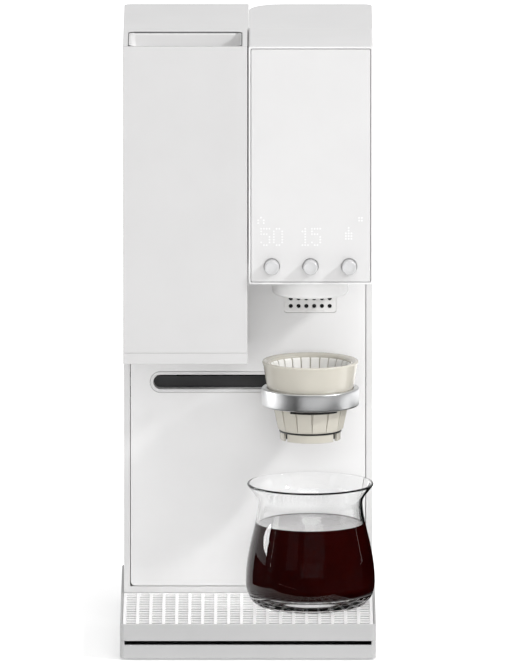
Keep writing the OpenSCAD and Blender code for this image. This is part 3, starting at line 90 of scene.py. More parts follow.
lamp("front_box", (0.5, -3.2, 1.15), 2.4, 1.1, 18, mirrored=False)
lamp("low_box", (0.2, -3.2, 0.35), 2.4, 0.5, 12, mirrored=False)
lamp("high_box", (0.2, -2.2, 2.3), 2.0, 1.2, 14, mirrored=False)
lamp("top_box", (0.1, -0.5, 2.6), 1.6, 1.6, 6)
lamp("key_lamp", (1.75, -1.0, 1.65), 0.25, 0.25, 33)
lamp("left_box", (-1.5, -0.3, 0.55), 0.45, 1.0, 3)


def finish_of(name, colours, roughness, grain, relief, patch=45.0, metallic=0.0, stretch=(1, 1, 1)):
    """A surface whose colour and gloss drift a little from patch to patch, with a fine grain in relief.
    The sizes of grain, relief and patch are in mm."""
    material = bpy.data.materials.new(name)
    material.use_nodes = True
    tree = material.node_tree
    shader = tree.nodes["Principled BSDF"]
    shader.inputs["Metallic"].default_value = metallic
    place = tree.nodes.new("ShaderNodeTexCoord")
    pull = tree.nodes.new("ShaderNodeMapping")
    pull.inputs["Scale"].default_value = stretch
    tree.links.new(place.outputs["Object"], pull.inputs["Vector"])
    drift = tree.nodes.new("ShaderNodeTexNoise")
    drift.inputs["Scale"].default_value = 1 / (patch * MM)
    drift.inputs["Detail"].default_value = 3
    tree.links.new(pull.outputs["Vector"], drift.inputs["Vector"])
    shades = tree.nodes.new("ShaderNodeValToRGB")
    shades.color_ramp.elements[0].position = 0.3
    shades.color_ramp.elements[0].color = (*colours[0], 1)
    shades.color_ramp.elements[1].position = 0.7
    shades.color_ramp.elements[1].color = (*colours[1], 1)
    tree.links.new(drift.outputs["Fac"], shades.inputs["Fac"])
    tree.links.new(shades.outputs["Color"], shader.inputs["Base Color"])
    fine = tree.nodes.new("ShaderNodeTexNoise")
    fine.inputs["Scale"].default_value = 1 / (grain * MM)
    fine.inputs["Detail"].default_value = 2
    tree.links.new(pull.outputs["Vector"], fine.inputs["Vector"])
    gloss = tree.nodes.new("ShaderNodeMapRange")
    gloss.inputs["To Min"].default_value = roughness[0]
    gloss.inputs["To Max"].default_value = roughness[1]
    tree.links.new(fine.outputs["Fac"], gloss.inputs["Value"])
    tree.links.new(gloss.outputs["Result"], shader.inputs["Roughness"])
    dents = tree.nodes.new("ShaderNodeBump")
    dents.inputs["Strength"].default_value = 0.6
    dents.inputs["Distance"].default_value = relief * MM
    tree.links.new(fine.outputs["Fac"], dents.inputs["Height"])
    tree.links.new(dents.outputs["Normal"], shader.inputs["Normal"])
    return material


floor_paper = finish_of(
    "floor_paper", [(0.8, 0.8, 0.8), (0.83, 0.83, 0.83)], (0.8, 0.95), 2.0, 0.02, patch=300
)
paper_nodes, paper_links = floor_paper.node_tree.nodes, floor_paper.node_tree.links
paper_shader = paper_nodes["Principled BSDF"]
paper_shader.inputs["Emission Color"].default_value = (1, 1, 1, 1)
paper_place = paper_nodes.new("ShaderNodeSeparateXYZ")
paper_links.new(paper_nodes["Texture Coordinate"].outputs["Object"], paper_place.inputs["Vector"])
paper_glow = paper_nodes.new("ShaderNodeMapRange")
for socket, value in (("From Min", -0.8), ("From Max", 0.9), ("To Min", 0.0), ("To Max", 0.75)):
    paper_glow.inputs[socket].default_value = value
paper_links.new(paper_place.outputs["Y"], paper_glow.inputs["Value"])
paper_links.new(paper_glow.outputs["Result"], paper_shader.inputs["Emission Strength"])
bpy.ops.object.select_all(action="DESELECT")
bpy.ops.mesh.primitive_plane_add(size=40)
floor = bpy.context.active_object
floor.name = "floor"
floor.data.materials.append(floor_paper)
pour_x, pour_y = 44, -41


def card(
    name, at, width, height, shades=(0.002, 0.003), low=0.0, glow=0.0, behind_glass=False, lying=False
):
    """A card that stands facing the carafe, or lies on the paper, with its sizes in metres.
    It shows only in glossy surfaces, or also through glass."""
    board = finish_of(name, [(v, v, v) for v in shades], (0.8, 0.9), 2.0, 0.01, patch=300)
    shader = board.node_tree.nodes["Principled BSDF"]
    shader.inputs["Emission Color"].default_value = (1, 1, 1, 1)
    shader.inputs["Emission Strength"].default_value = glow
    shader.inputs["Specular IOR Level"].default_value = 0.0
    bpy.ops.object.select_all(action="DESELECT")
    bpy.ops.mesh.primitive_plane_add(size=1)
    sheet = bpy.context.active_object
    sheet.name = name
    sheet.scale = (width, height, 1)
    sheet.location = (*at, low if lying else low + height / 2)
    turn = math.atan2(at[1] - pour_y * MM, at[0] - pour_x * MM) - math.pi / 2
    sheet.rotation_euler = (0, 0, 0) if lying else (math.pi / 2, 0, turn)
    sheet.data.materials.append(board)
    sheet.visible_camera = sheet.visible_diffuse = sheet.visible_shadow = False
    sheet.visible_transmission = behind_glass


card("dark_card", (-0.34, -0.61), 0.26, 0.34, shades=(0.06, 0.08))
card("front_card", (0.2, -1.5), 3.4, 1.2, low=0.15)
card("low_card", (0.06, -0.36), 1.4, 0.09)
card("table_card", (0.06, -0.24), 1.4, 0.23, low=0.002, lying=True)
card("left_table_card", (-0.18, 0.02), 0.18, 0.34, low=0.002, lying=True)
card("right_table_card", (0.2, 0.02), 0.2, 0.34, low=0.002, lying=True)
card("left_low_card", (-0.27, -0.04), 0.45, 0.07)
card("right_low_card", (0.31, -0.04), 0.45, 0.062)
card("left_card", (-1.0, -0.75), 0.95, 0.86, low=0.06)
card("right_card", (1.45, -0.45), 1.9, 0.82, low=0.08)
card("side_card", (-1.3, -0.2), 0.3, 0.86, low=0.06)
card("window_card", (-1.4, 0.42), 0.95, 0.5, shades=(0.8, 0.85), low=0.22, glow=13)
card("edge_card", (0.2, 0.115), 0.27, 0.13, behind_glass=True)

# Feet and base pan: four soft rubber pads are glued under a moulded grey pan, whose front edge is set off
# from the tray above by a shadow gap. The pan's edges are slightly eased, as moulding leaves them.
base_plastic = finish_of(
    "base_plastic", [(0.403, 0.403, 0.403), (0.423, 0.423, 0.423)], (0.4, 0.52), 0.45, 0.015
)
foot_rubber = finish_of(
    "foot_rubber", [(0.012, 0.012, 0.012), (0.022, 0.022, 0.022)], (0.7, 0.9), 0.8, 0.05
)
sharp_angle = math.radians(35)
weld = 0.002 * MM


def fit(piece, material, body, slot_name, *stands_for):
    """Gives a finished piece its material and body, and names the CAD pieces it stands for. The slot name is
    not used.
    """
    piece.data.materials.clear()
    piece.data.materials.append(material)
    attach(piece, body)
    if stands_for:
        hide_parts(*stands_for)


def take_up(piece):
    """Selects one piece alone and makes it active."""
    bpy.ops.object.select_all(action="DESELECT")
    piece.select_set(True)
    bpy.context.view_layer.objects.active = piece


def ease_edges(piece, width, segments=2):
    """Breaks the sharp edges by width mm and keeps the flat faces flat in shading."""
    take_up(piece)
    bevel = piece.modifiers.new("eased", "BEVEL")
    bevel.width = width * MM
    bevel.segments = segments
    bevel.limit_method = "ANGLE"
    bevel.angle_limit = sharp_angle
    bpy.ops.object.modifier_apply(modifier=bevel.name)
    bpy.ops.object.shade_smooth_by_angle(angle=sharp_angle)
    even = piece.modifiers.new("even", "WEIGHTED_NORMAL")
    even.keep_sharp = True
    bpy.ops.object.modifier_apply(modifier=even.name)


def whole_copy(node, name):
    """A copy of a CAD piece with its triangles joined to whole faces."""
    piece = bpy.data.objects.new(name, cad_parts[node].data.copy())
    scene.collection.objects.link(piece)
    take_up(piece)
    bpy.ops.mesh.customdata_custom_splitnormals_clear()
    bpy.ops.object.mode_set(mode="EDIT")
    bpy.ops.mesh.select_all(action="SELECT")
    bpy.ops.mesh.remove_doubles(threshold=weld)
    bpy.ops.mesh.dissolve_limited(angle_limit=math.radians(1))
    bpy.ops.object.mode_set(mode="OBJECT")
    return piece


def eased_copy(node, name, width, segments=2):
    """A copy of a CAD piece whose sharp edges are eased by width mm."""
    piece = whole_copy(node, name)
    ease_edges(piece, width, segments)
    return piece


def turned_piece(name, profile, at, steps, lying=False):
    """Runs a point along a half profile of (radius, height) in mm, spins the line and closes the skin.
    A lying piece has its axis along Y and its heights towards the front."""
    bpy.ops.object.select_all(action="DESELECT")
    bpy.ops.mesh.primitive_plane_add(size=MM)
    piece = bpy.context.active_object
    piece.name = name
    bpy.ops.object.mode_set(mode="EDIT")
    bpy.ops.mesh.select_mode(type="VERT")
    bpy.ops.mesh.select_all(action="SELECT")
    bpy.ops.mesh.merge(type="CENTER")
    here = Vector((0, 0, 0))
    for i, (radius, height) in enumerate(profile):
        there = Vector((radius * MM, 0, height * MM))
        if i == 0:
            bpy.ops.transform.translate(value=there - here)
        else:
            bpy.ops.mesh.extrude_region_move(TRANSFORM_OT_translate={"value": there - here})
        here = there
    bpy.ops.mesh.select_all(action="SELECT")
    bpy.ops.mesh.spin(steps=steps, angle=2 * math.pi, center=(0, 0, 0), axis=(0, 0, 1))
    bpy.ops.mesh.select_all(action="SELECT")
    bpy.ops.mesh.remove_doubles(threshold=weld)
    bpy.ops.mesh.normals_make_consistent(inside=False)
    bpy.ops.object.mode_set(mode="OBJECT")
    if lying:
        piece.rotation_euler = (math.pi / 2, 0, 0)
    piece.location = Vector(at) * MM
    bpy.ops.object.transform_apply(location=True, rotation=True, scale=True)
    bpy.ops.object.shade_smooth_by_angle(angle=sharp_angle)
    return piece


def gather(name, pieces):
    """Joins finished pieces to one object."""
    take_up(pieces[0])
    for piece in pieces:
        piece.select_set(True)
    bpy.ops.object.join()
    pieces[0].name = name
    return pieces[0]


def copies_of(piece, moves):
    """Copies a piece for each move, every copy with its own mesh, and removes the piece itself."""
    found = []
    for move in moves:
        copy = bpy.data.objects.new(piece.name, piece.data.copy())
        scene.collection.objects.link(copy)
        copy.data.transform(move)
        found.append(copy)
    bpy.data.objects.remove(piece)
    return found


fit(eased_copy("base_pan", "base_pan_moulding", 0.5, 3), base_plastic, "machine", "base_grey", "base_pan")
foot_x, foot_y, foot_r, foot_h = 70, 97, 8, 2.7
foot_profile = [
    (0, 0.25), (5.2, 0.25), (5.6, 0), (7.0, 0), (7.6, 0.2), (7.9, 0.6),
    (foot_r, 1.1), (foot_r, foot_h - 0.2), (foot_r - 0.2, foot_h), (0, foot_h),
]
foot_moves = [
    Matrix.Translation((x * MM, y * MM, 0)) for x in (-foot_x, foot_x) for y in (-foot_y, foot_y)
]
foot = turned_piece("foot", foot_profile, (0, 0, 0), 48)
fit(gather("rubber_feet", copies_of(foot, foot_moves)), foot_rubber, "machine", "rubber_dark", "feet")

# Weighing platform, load cell and rear deck: a dark platform on an aluminium load cell lies in the pan under
# the tray, and a moulded deck closes the base behind it and carries the column.
dark_plastic = finish_of(
    "dark_plastic", [(0.035, 0.035, 0.037), (0.05, 0.05, 0.052)], (0.45, 0.6), 0.5, 0.02
)
satin_aluminium = finish_of(
    "satin_aluminium", [(0.72, 0.725, 0.73), (0.78, 0.785, 0.79)], (0.28, 0.37), 0.35, 0.006,
    patch=30, metallic=1.0,
)


def dress(material, *names):
    """Gives CAD pieces that keep their shape a material."""
    for name in names:
        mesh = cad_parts[name].data
        mesh.materials.clear()
        mesh.materials.append(material)


dress(dark_plastic, "scale_platform")
dress(satin_aluminium, "load_cell")
fit(eased_copy("rear_deck", "rear_deck_moulding", 0.5, 3), base_plastic, "machine", "base_grey",
    "rear_deck")

# Drip tray and grate: a shallow moulded tray slides in from the front, and a punched steel grate with a
# square mesh, coated white, lies on its ledge.
grate_coat = finish_of("grate_coat", [(0.925, 0.92, 0.92), (0.95, 0.945, 0.945)], (0.3, 0.4), 0.9, 0.015)
# Painted shade: a near-black colour for the tray's flat floor, which darkens what shows through the grate's
# holes.
tray_floor_shade = finish_of("tray_floor_shade", [(0.07, 0.07, 0.07), (0.1, 0.1, 0.1)], (0.6, 0.75), 0.8, 0.03)
tray = eased_copy("drip_tray", "drip_tray_moulding", 0.4, 3)
fit(tray, base_plastic, "drip_tray", "base_grey", "drip_tray")
tray.data.materials.append(tray_floor_shade)
tray_low, tray_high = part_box("drip_tray")
# The flat floor under the grate takes the near-black colour as painted shade.
for face in tray.data.polygons:
    if face.normal.z > 0.99 and face.center.z < (tray_low.z + tray_high.z) / 2:
        face.material_index = 1
fit(eased_copy("drip_grate", "drip_grate_punched", 0.2, 1), grate_coat, "drip_grate", "grate_white",
    "drip_grate")

# Column: a tall moulded shell. The panel at the back of the bay is painted sheet metal let into it with a
# fine groove, and the slot for the arm has a trim of its own with a dark plate behind it.
white_plastic = finish_of(
    "white_plastic", [(0.662, 0.658, 0.658), (0.683, 0.679, 0.679)], (0.38, 0.5), 0.45, 0.012
)
# Painted light: the bay panel takes a lighter copy of the machine's white, making up for the shade deep in
# the bay.
bay_paint_lit = finish_of("bay_paint_lit", [(0.75, 0.746, 0.746), (0.771, 0.767, 0.767)], (0.3, 0.38), 1.4, 0.008)
fit(eased_copy("column_shell", "column_moulding", 0.5), white_plastic, "machine", "shell_white",
    "column_shell")


def start_block(name, lo, hi):
    """A block between two corners in mm, with its place in its mesh."""
    lo, hi = Vector(lo) * MM, Vector(hi) * MM
    bpy.ops.object.select_all(action="DESELECT")
    bpy.ops.mesh.primitive_cube_add(size=1, location=(lo + hi) / 2, scale=hi - lo)
    block = bpy.context.active_object
    block.name = name
    bpy.ops.object.transform_apply(location=True, rotation=True, scale=True)
    return block


def combine(piece, tool, operation):
    """Joins another piece to this one, or cuts it away, and removes the tool."""
    take_up(piece)
    join = piece.modifiers.new("combine", "BOOLEAN")
    join.operation = operation
    join.object = tool
    join.solver = "EXACT"
    bpy.ops.object.modifier_apply(modifier=join.name)
    bpy.data.objects.remove(tool)


def round_ended(name, lo, hi):
    """A slab between two corners in mm whose left and right ends are full rounds, but for a hair of flat."""
    flat = 0.01
    slab = start_block(name, lo, hi)
    bpy.ops.object.mode_set(mode="EDIT")
    bpy.ops.mesh.select_mode(type="EDGE")
    bpy.ops.mesh.select_all(action="DESELECT")
    bpy.ops.object.mode_set(mode="OBJECT")
    for edge in slab.data.edges:
        start, end = (slab.data.vertices[v].co for v in edge.vertices)
        edge.select = abs(start.y - end.y) > MM / 10
    bpy.ops.object.mode_set(mode="EDIT")
    bpy.ops.mesh.bevel(offset=(hi[2] - lo[2]) / 2 * MM - flat * MM, segments=16, affect="EDGES")
    bpy.ops.object.mode_set(mode="OBJECT")
    return slab


slot_border, slot_fit = 2.3, 0.2
slot_low, slot_high = (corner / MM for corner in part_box("slot_trim"))
sheet_low, sheet_high = (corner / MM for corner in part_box("bay_panel"))
rim = Vector((slot_border, -1, slot_border))
play = Vector((slot_fit, 1, slot_fit))
margin = Vector((1, 0, 1))
bay = whole_copy("bay_panel", "bay_panel_sheet")
filled_low = Vector((slot_low.x, sheet_low.y, slot_low.z)) - margin
filled_high = Vector((slot_high.x, sheet_high.y, slot_high.z)) + margin
combine(bay, start_block("filling", filled_low, filled_high), "UNION")
combine(bay, round_ended("slot", slot_low - play, slot_high + play), "DIFFERENCE")
ease_edges(bay, 0.3)
fit(bay, bay_paint_lit, "machine", "panel_white", "bay_panel")
trim = round_ended("slot_trim_moulding", slot_low, slot_high)
combine(trim, round_ended("opening", slot_low + rim, slot_high - rim), "DIFFERENCE")
ease_edges(trim, 0.3)
fit(trim, white_plastic, "machine", "shell_white", "slot_trim")
dress(dark_plastic, "slot_back")

# Vent: a small painted plate with rows of round holes is let into the panel above the dripper. A near-black
# sheet behind the holes is painted shade that darkens them, and a fan stands behind it in the column.
black_plastic = finish_of(
    "black_plastic", [(0.008, 0.008, 0.008), (0.014, 0.014, 0.014)], (0.5, 0.65), 0.5, 0.02
)
# Painted light: the vent plate takes a lighter copy of the machine's white, making up for the shade under
# the head.
vent_paint_lit = finish_of(
    "vent_paint_lit", [(0.76, 0.756, 0.747), (0.788, 0.783, 0.774)], (0.35, 0.45), 1.0, 0.008
)
# Painted shade: a near-black colour for the sheet behind the holes, in place of the shade inside the column.
vent_shade_black = finish_of(
    "vent_shade_black", [(0.006, 0.006, 0.006), (0.012, 0.012, 0.012)], (0.8, 0.95), 0.6, 0.1
)
fit(eased_copy("vent_plate", "vent_plate_punched", 0.15, 1), vent_paint_lit, "machine", "panel_white",
    "vent_plate")
vent_low, vent_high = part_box("vent_plate")
vent_shade_inset, vent_shade_front, vent_shade_back = 2.4, 0.05, 0.45
vent_shade_low = Vector((vent_low.x, vent_high.y, vent_low.z)) / MM
vent_shade_low += Vector((vent_shade_inset, vent_shade_front, vent_shade_inset))
vent_shade_high = vent_high / MM + Vector((-vent_shade_inset, vent_shade_back, -vent_shade_inset))
fit(start_block("vent_shade_sheet", vent_shade_low, vent_shade_high), vent_shade_black, "machine", "black_plastic")
dress(black_plastic, "fan_frame", "fan_rotor")

# Back: a louvred service cover is held by six cross-head screws, and a black inlet for the power lead is let
# into the column below it.
brushed_steel = finish_of(
    "brushed_steel", [(0.5, 0.505, 0.515), (0.6, 0.605, 0.615)], (0.22, 0.38), 0.25, 0.006,
    patch=6, metallic=1.0, stretch=(0.06, 1, 1),
)
fit(eased_copy("back_cover", "back_cover_moulding", 0.3), white_plastic, "machine", "shell_white",
    "back_cover")
fit(eased_copy("cover_screws", "cover_screw_heads", 0.12), brushed_steel, "machine", "steel",
    "cover_screws")
fit(eased_copy("power_inlet", "power_inlet_socket", 0.25), black_plastic, "machine", "black_plastic",
    "power_inlet")

# Works: the boards, encoders, power supply, pump, heater, hoses, motors, burr case, grounds chute and the
# arm's drive, in the column and in the two boxes. They keep their CAD shapes, because they show only when
# the covers are off.
board_mask = finish_of(
    "board_mask", [(0.006, 0.05, 0.022), (0.012, 0.085, 0.04)], (0.3, 0.45), 0.8, 0.02, patch=3
)
hose_rubber = finish_of("hose_rubber", [(0.02, 0.02, 0.021), (0.035, 0.035, 0.036)], (0.55, 0.7), 1.2, 0.03)
dress(board_mask, "main_board", "display_board")
dress(brushed_steel, "power_supply", "heater", "guide_rods", "lead_screw", "spout_motor", "grinder_motor")
dress(dark_plastic, "pump", "carriage", "carriage_motor", "encoders", "burr_case", "grounds_chute")
dress(hose_rubber, "hoses")

# Water tank: a clear, lightly tinted moulding that stands open to the side and the back of the machine, with
# a white lid that lies flush with the top. Its outlet sits in a black cup with a rubber seal.
tank_plastic = finish_of(
    "tank_plastic", [(0.74, 0.78, 0.8), (0.8, 0.83, 0.85)], (0.06, 0.12), 3.0, 0.01, patch=60
)
tank_shader = tank_plastic.node_tree.nodes["Principled BSDF"]
tank_shader.inputs["Transmission Weight"].default_value = 0.9
tank_shader.inputs["IOR"].default_value = 1.49
fit(eased_copy("water_tank", "water_tank_moulding", 0.4), tank_plastic, "water_tank", "tank_clear",
    "water_tank")
fit(eased_copy("tank_lid", "tank_lid_moulding", 0.5), white_plastic, "tank_lid", "shell_white", "tank_lid")
dress(black_plastic, "tank_seat")
dress(hose_rubber, "tank_seal")

# Grinder box: a moulded housing with a painted front panel and a plain band below it. The open hopper is a
# thin moulding that runs from a square well down to a round throat. A narrow dark grey ring round its top is
# painted shade for the shadow gap where the hopper meets the housing.
gear_brass = finish_of(
    "gear_brass", [(0.62, 0.42, 0.16), (0.7, 0.49, 0.2)], (0.25, 0.4), 0.4, 0.008, patch=12, metallic=1.0
)
# Painted shade: a dark grey for a thin ring round the top of the hopper's well, in place of the shadow gap
# there.
hopper_shade_grey = finish_of("hopper_shade_grey", [(0.09, 0.09, 0.09), (0.13, 0.13, 0.13)], (0.6, 0.75), 0.8, 0.03)
# Painted shade: the front panel and band take a darker copy of the machine's white, offsetting the strong
# front light.
front_paint_shaded = finish_of(
    "front_paint_shaded", [(0.515, 0.511, 0.511), (0.532, 0.528, 0.528)], (0.3, 0.38), 1.4, 0.008
)
fit(eased_copy("grinder_housing", "grinder_housing_moulding", 0.4), white_plastic, "machine", "shell_white",
    "grinder_housing")
fit(eased_copy("grinder_front", "grinder_front_panel", 0.4), front_paint_shaded, "machine", "panel_white",
    "grinder_front")
fit(eased_copy("lower_band", "lower_band_moulding", 0.4), front_paint_shaded, "machine", "shell_white",
    "lower_band")
well_low, well_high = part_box("hopper")
well_corner, hopper_wall, throat_r, throat_h = 4.5, 1.6, 21.6, 4.0
well_straight, loop_points = 14.0, 96
throat_x, throat_y = -44, -41


def rounded_rectangle(lo, hi, radius, count):
    """Points round a rectangle with rounded corners, at even angles from the middle of the right side."""
    corner_steps = 12
    wide, deep = hi[0] - lo[0], hi[1] - lo[1]
    runs = [(hi[0] - radius, hi[1] - radius, 0), (lo[0] + radius, hi[1] - radius, 90),
            (lo[0] + radius, lo[1] + radius, 180), (hi[0] - radius, lo[1] + radius, 270)]
    dense = []
    for cx, cy, start in runs:
        for k in range(corner_steps + 1):
            a = math.radians(start + 90 * k / corner_steps)
            dense.append(Vector((cx + radius * math.cos(a), cy + radius * math.sin(a))))
    centre = Vector(((lo[0] + hi[0]) / 2, (lo[1] + hi[1]) / 2))
    found = []
    for k in range(count):
        a = 2 * math.pi * k / count
        way = Vector((math.cos(a) * wide, math.sin(a) * deep)).normalized()
        best = max(dense, key=lambda p: (p - centre).normalized().dot(way))
        found.append(best)
    return found


def loop_at(points, height):
    """Adds a ring of vertices in edit mode and moves them to the points at that height, in metres."""
    piece = bpy.context.active_object
    bpy.ops.mesh.select_all(action="DESELECT")
    bpy.ops.mesh.primitive_circle_add(vertices=len(points), radius=MM)
    bpy.ops.object.mode_set(mode="OBJECT")
    fresh = piece.data.vertices[len(piece.data.vertices) - len(points):]
    for vertex, point in zip(fresh, points):
        vertex.co = (point[0], point[1], height)
    bpy.ops.object.mode_set(mode="EDIT")


def looped_skin(name, loops, thickness):
    """Rings of points at their heights, in metres, bridged to a skin with a wall in mm on its inner side."""
    bpy.ops.object.select_all(action="DESELECT")
    bpy.ops.mesh.primitive_circle_add(vertices=len(loops[0][0]), radius=MM)
    piece = bpy.context.active_object
    piece.name = name
    for vertex, point in zip(piece.data.vertices, loops[0][0]):
        vertex.co = (point[0], point[1], loops[0][1])
    bpy.ops.object.mode_set(mode="EDIT")
    for points, height in loops[1:]:
        loop_at(points, height)
    bpy.ops.mesh.select_all(action="SELECT")
    bpy.ops.mesh.bridge_edge_loops()
    bpy.ops.mesh.select_all(action="SELECT")
    bpy.ops.mesh.normals_make_consistent(inside=False)
    bpy.ops.object.mode_set(mode="OBJECT")
    wall = piece.modifiers.new("wall", "SOLIDIFY")
    wall.thickness = thickness * MM
    wall.offset = -1
    bpy.ops.object.modifier_apply(modifier=wall.name)
    return piece


hopper_shade_h, hopper_shade_t, hopper_shade_down = 0.7, 0.6, 0.05
angles = [2 * math.pi * k / loop_points for k in range(loop_points)]
throat = [
    ((throat_x + throat_r * math.cos(a)) * MM, (throat_y + throat_r * math.sin(a)) * MM) for a in angles
]
well = rounded_rectangle(well_low, well_high, well_corner * MM, loop_points)
hopper_shade_top, well_top = well_high.z - hopper_shade_down * MM, well_high.z - (hopper_shade_down + hopper_shade_h) * MM
hopper = looped_skin("hopper_moulding", [
    (well, well_top), (well, well_high.z - well_straight * MM),
    (throat, well_low.z + throat_h * MM), (throat, well_low.z),
], hopper_wall)
ease_edges(hopper, 0.12)
# The thin dark ring round the top of the well is painted shade for the shadow gap between hopper and
# housing.
hopper_shade_ring = looped_skin("hopper_shade_ring", [(well, hopper_shade_top), (well, well_top)], hopper_shade_t)
fit(hopper_shade_ring, hopper_shade_grey, "machine", "rubber_dark")
fit(hopper, white_plastic, "machine", "shell_white", "hopper")
dress(satin_aluminium, "burr_spider", "burr_frame")
dress(brushed_steel, "inner_burr", "outer_burr")
dress(gear_brass, "burr_carrier", "motor_pinion")

# Brew head: a thin-walled housing round a bright fascia. Small lights shine through the fascia as dotted
# numbers and marks.
# Painted shade: the fascia takes a darker copy of the machine's white, offsetting the strong light on the
# front.
fascia_paint_shaded = finish_of(
    "fascia_paint_shaded", [(0.575, 0.571, 0.571), (0.591, 0.587, 0.587)], (0.2, 0.26), 1.6, 0.004
)
fit(eased_copy("head_housing", "head_housing_moulding", 0.35), white_plastic, "machine", "shell_white",
    "head_housing")
fit(eased_copy("fascia", "fascia_panel", 0.25), fascia_paint_shaded, "machine", "panel_white", "fascia")
lit_dots = finish_of("lit_dots", [(0.64, 0.64, 0.64), (0.66, 0.66, 0.66)], (0.3, 0.4), 0.3, 0.002)
dots_shader = lit_dots.node_tree.nodes["Principled BSDF"]
dots_shader.inputs["Emission Color"].default_value = (1, 1, 1, 1)
dots_shader.inputs["Emission Strength"].default_value = 0.03
digit_rows = {
    "5": ("1111", "1000", "1110", "0001", "0001", "1001", "0110"),
    "0": ("0110", "1001", "1001", "1001", "1001", "1001", "0110"),
    "1": ("0010", "0110", "0010", "0010", "0010", "0010", "0111"),
    "drop": ("010", "010", "111", "111", "111"),
    "mark": ("010", "101", "101"),
    "point": ("11", "11"),
}
number_top = 301.3
shown = (
    ("5", 9.3, number_top), ("0", 18.2, number_top), ("1", 36.4, number_top), ("5", 45.0, number_top),
    ("drop", 68.9, 301.9), ("mark", 7.2, 309.2), ("point", 78.2, 309.0),
)
dot_pitch, dot_r, dot_proud, dot_corners = 1.95, 0.68, 0.04, 14
fascia_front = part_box("fascia")[0].y
dots = []
for glyph, left, top in shown:
    for row, line in enumerate(digit_rows[glyph]):
        for column, lit in enumerate(line):
            if lit == "1":
                dots.append((left + column * dot_pitch, top - row * dot_pitch))
bpy.ops.object.select_all(action="DESELECT")
bpy.ops.mesh.primitive_circle_add(
    vertices=dot_corners, radius=dot_r * MM, fill_type="NGON", rotation=(math.pi / 2, 0, 0)
)
dot = bpy.context.active_object
dot.name = "dot"
bpy.ops.object.transform_apply(location=True, rotation=True, scale=True)
bpy.ops.object.mode_set(mode="EDIT")
bpy.ops.mesh.select_all(action="SELECT")
bpy.ops.mesh.extrude_region_move(TRANSFORM_OT_translate={"value": (0, 2 * dot_proud * MM, 0)})
bpy.ops.mesh.select_all(action="SELECT")
bpy.ops.mesh.normals_make_consistent(inside=False)
bpy.ops.object.mode_set(mode="OBJECT")
dot_moves = [Matrix.Translation((x * MM, fascia_front - dot_proud * MM, z * MM)) for x, z in dots]
fit(gather("display_dots", copies_of(dot, dot_moves)), lit_dots, "machine", "panel_white")

# Knobs: three turned aluminium caps on steel shafts stand in front of the fascia. They turn without end and
# press in as buttons.
knob_metal = finish_of(
    "knob_metal", [(0.6, 0.6, 0.605), (0.64, 0.64, 0.645)], (0.3, 0.4), 0.3, 0.005, patch=20, metallic=0.35
)
knob_x = {"left": 16.8, "middle": 44.0, "right": 71.2}
knob_z, knob_front, knob_back, shaft_end = 274.5, 83.6, 74.6, 69.55
knob_profile = [
    (0, shaft_end), (2.5, shaft_end), (2.5, knob_back), (4.8, knob_back), (5.1, knob_back + 0.3),
    (5.1, knob_front - 0.8), (5.02, knob_front - 0.45), (4.8, knob_front - 0.15), (4.5, knob_front),
    (4.0, knob_front), (3.7, knob_front - 0.12), (2.0, knob_front - 0.2), (0, knob_front - 0.22),
]
knob_moves = [Matrix.Translation((x * MM, 0, 0)) for x in knob_x.values()]
knob_cap = turned_piece("knob_cap", knob_profile, (0, 0, knob_z), 72, lying=True)
for side, cap in zip(knob_x, copies_of(knob_cap, knob_moves)):
    cap.name = "knob_cap_" + side
    fit(cap, knob_metal, "knob_" + side, "knob_silver", "knob_" + side)
    dress(brushed_steel, "plunger_" + side)

# Spout: a round moulded housing hangs under the head, and the nozzle of the aluminium rotor in it sweeps in
# circles over the dripper.
# Painted light: the spout housing takes a lighter copy of the shell's white, making up for the shade under
# the head.
spout_paint_lit = finish_of(
    "spout_paint_lit", [(0.7, 0.696, 0.692), (0.72, 0.716, 0.712)], (0.35, 0.45), 1.0, 0.008
)
fit(eased_copy("spout_housing", "spout_housing_moulding", 0.3), spout_paint_lit, "machine", "shell_white",
    "spout_housing")
dress(satin_aluminium, "spout_rotor")

# Ring arm: a thick aluminium ring, turned, blasted and anodised, on an arm that runs in the slot. A thin
# blade goes on over the dark plate to the carriage behind it.
ring_low, ring_high, ring_seat = 169.7, 182.3, 177.3
ring_r, ring_bore, ring_lip, ring_edge = 34.4, 30.81, 26.9, 1.2


def arc(cr, cz, radius, start, end, count):
    """Points of a profile along an arc; angles in degrees."""
    turns = [math.radians(start + (end - start) * k / count) for k in range(count + 1)]
    return [(cr + radius * math.cos(a), cz + radius * math.sin(a)) for a in turns]


ring_profile = (
    [(ring_lip, ring_low)]
    + arc(ring_r - ring_edge, ring_low + ring_edge, ring_edge, -90, 0, 6)
    + arc(ring_r - ring_edge, ring_high - ring_edge, ring_edge, 0, 90, 6)
    + arc(ring_bore + 0.3, ring_high - 0.3, 0.3, 90, 180, 3)
    + [(ring_bore, ring_seat), (ring_lip, ring_seat), (ring_lip, ring_low)]
)
ring = turned_piece("ring_arm_turned", ring_profile, (pour_x, pour_y, 0), 160)
arm_half, arm_front, arm_back, arm_low = 12, -9.8, 14.5, 172.7
blade_low, blade_back, blade_sunk = 180.7, 33, 1
arm_left, arm_right = pour_x - arm_half, pour_x + arm_half
arm = start_block("arm", (arm_left, arm_front, arm_low), (arm_right, arm_back, ring_high))
combine(ring, arm, "UNION")
blade = start_block(
    "blade", (arm_left, arm_back - blade_sunk, blade_low), (arm_right, blade_back, ring_high)
)
combine(ring, blade, "UNION")
bpy.ops.object.shade_smooth_by_angle(angle=sharp_angle)
fit(ring, satin_aluminium, "ring_carriage", "aluminium_satin", "ring_arm")
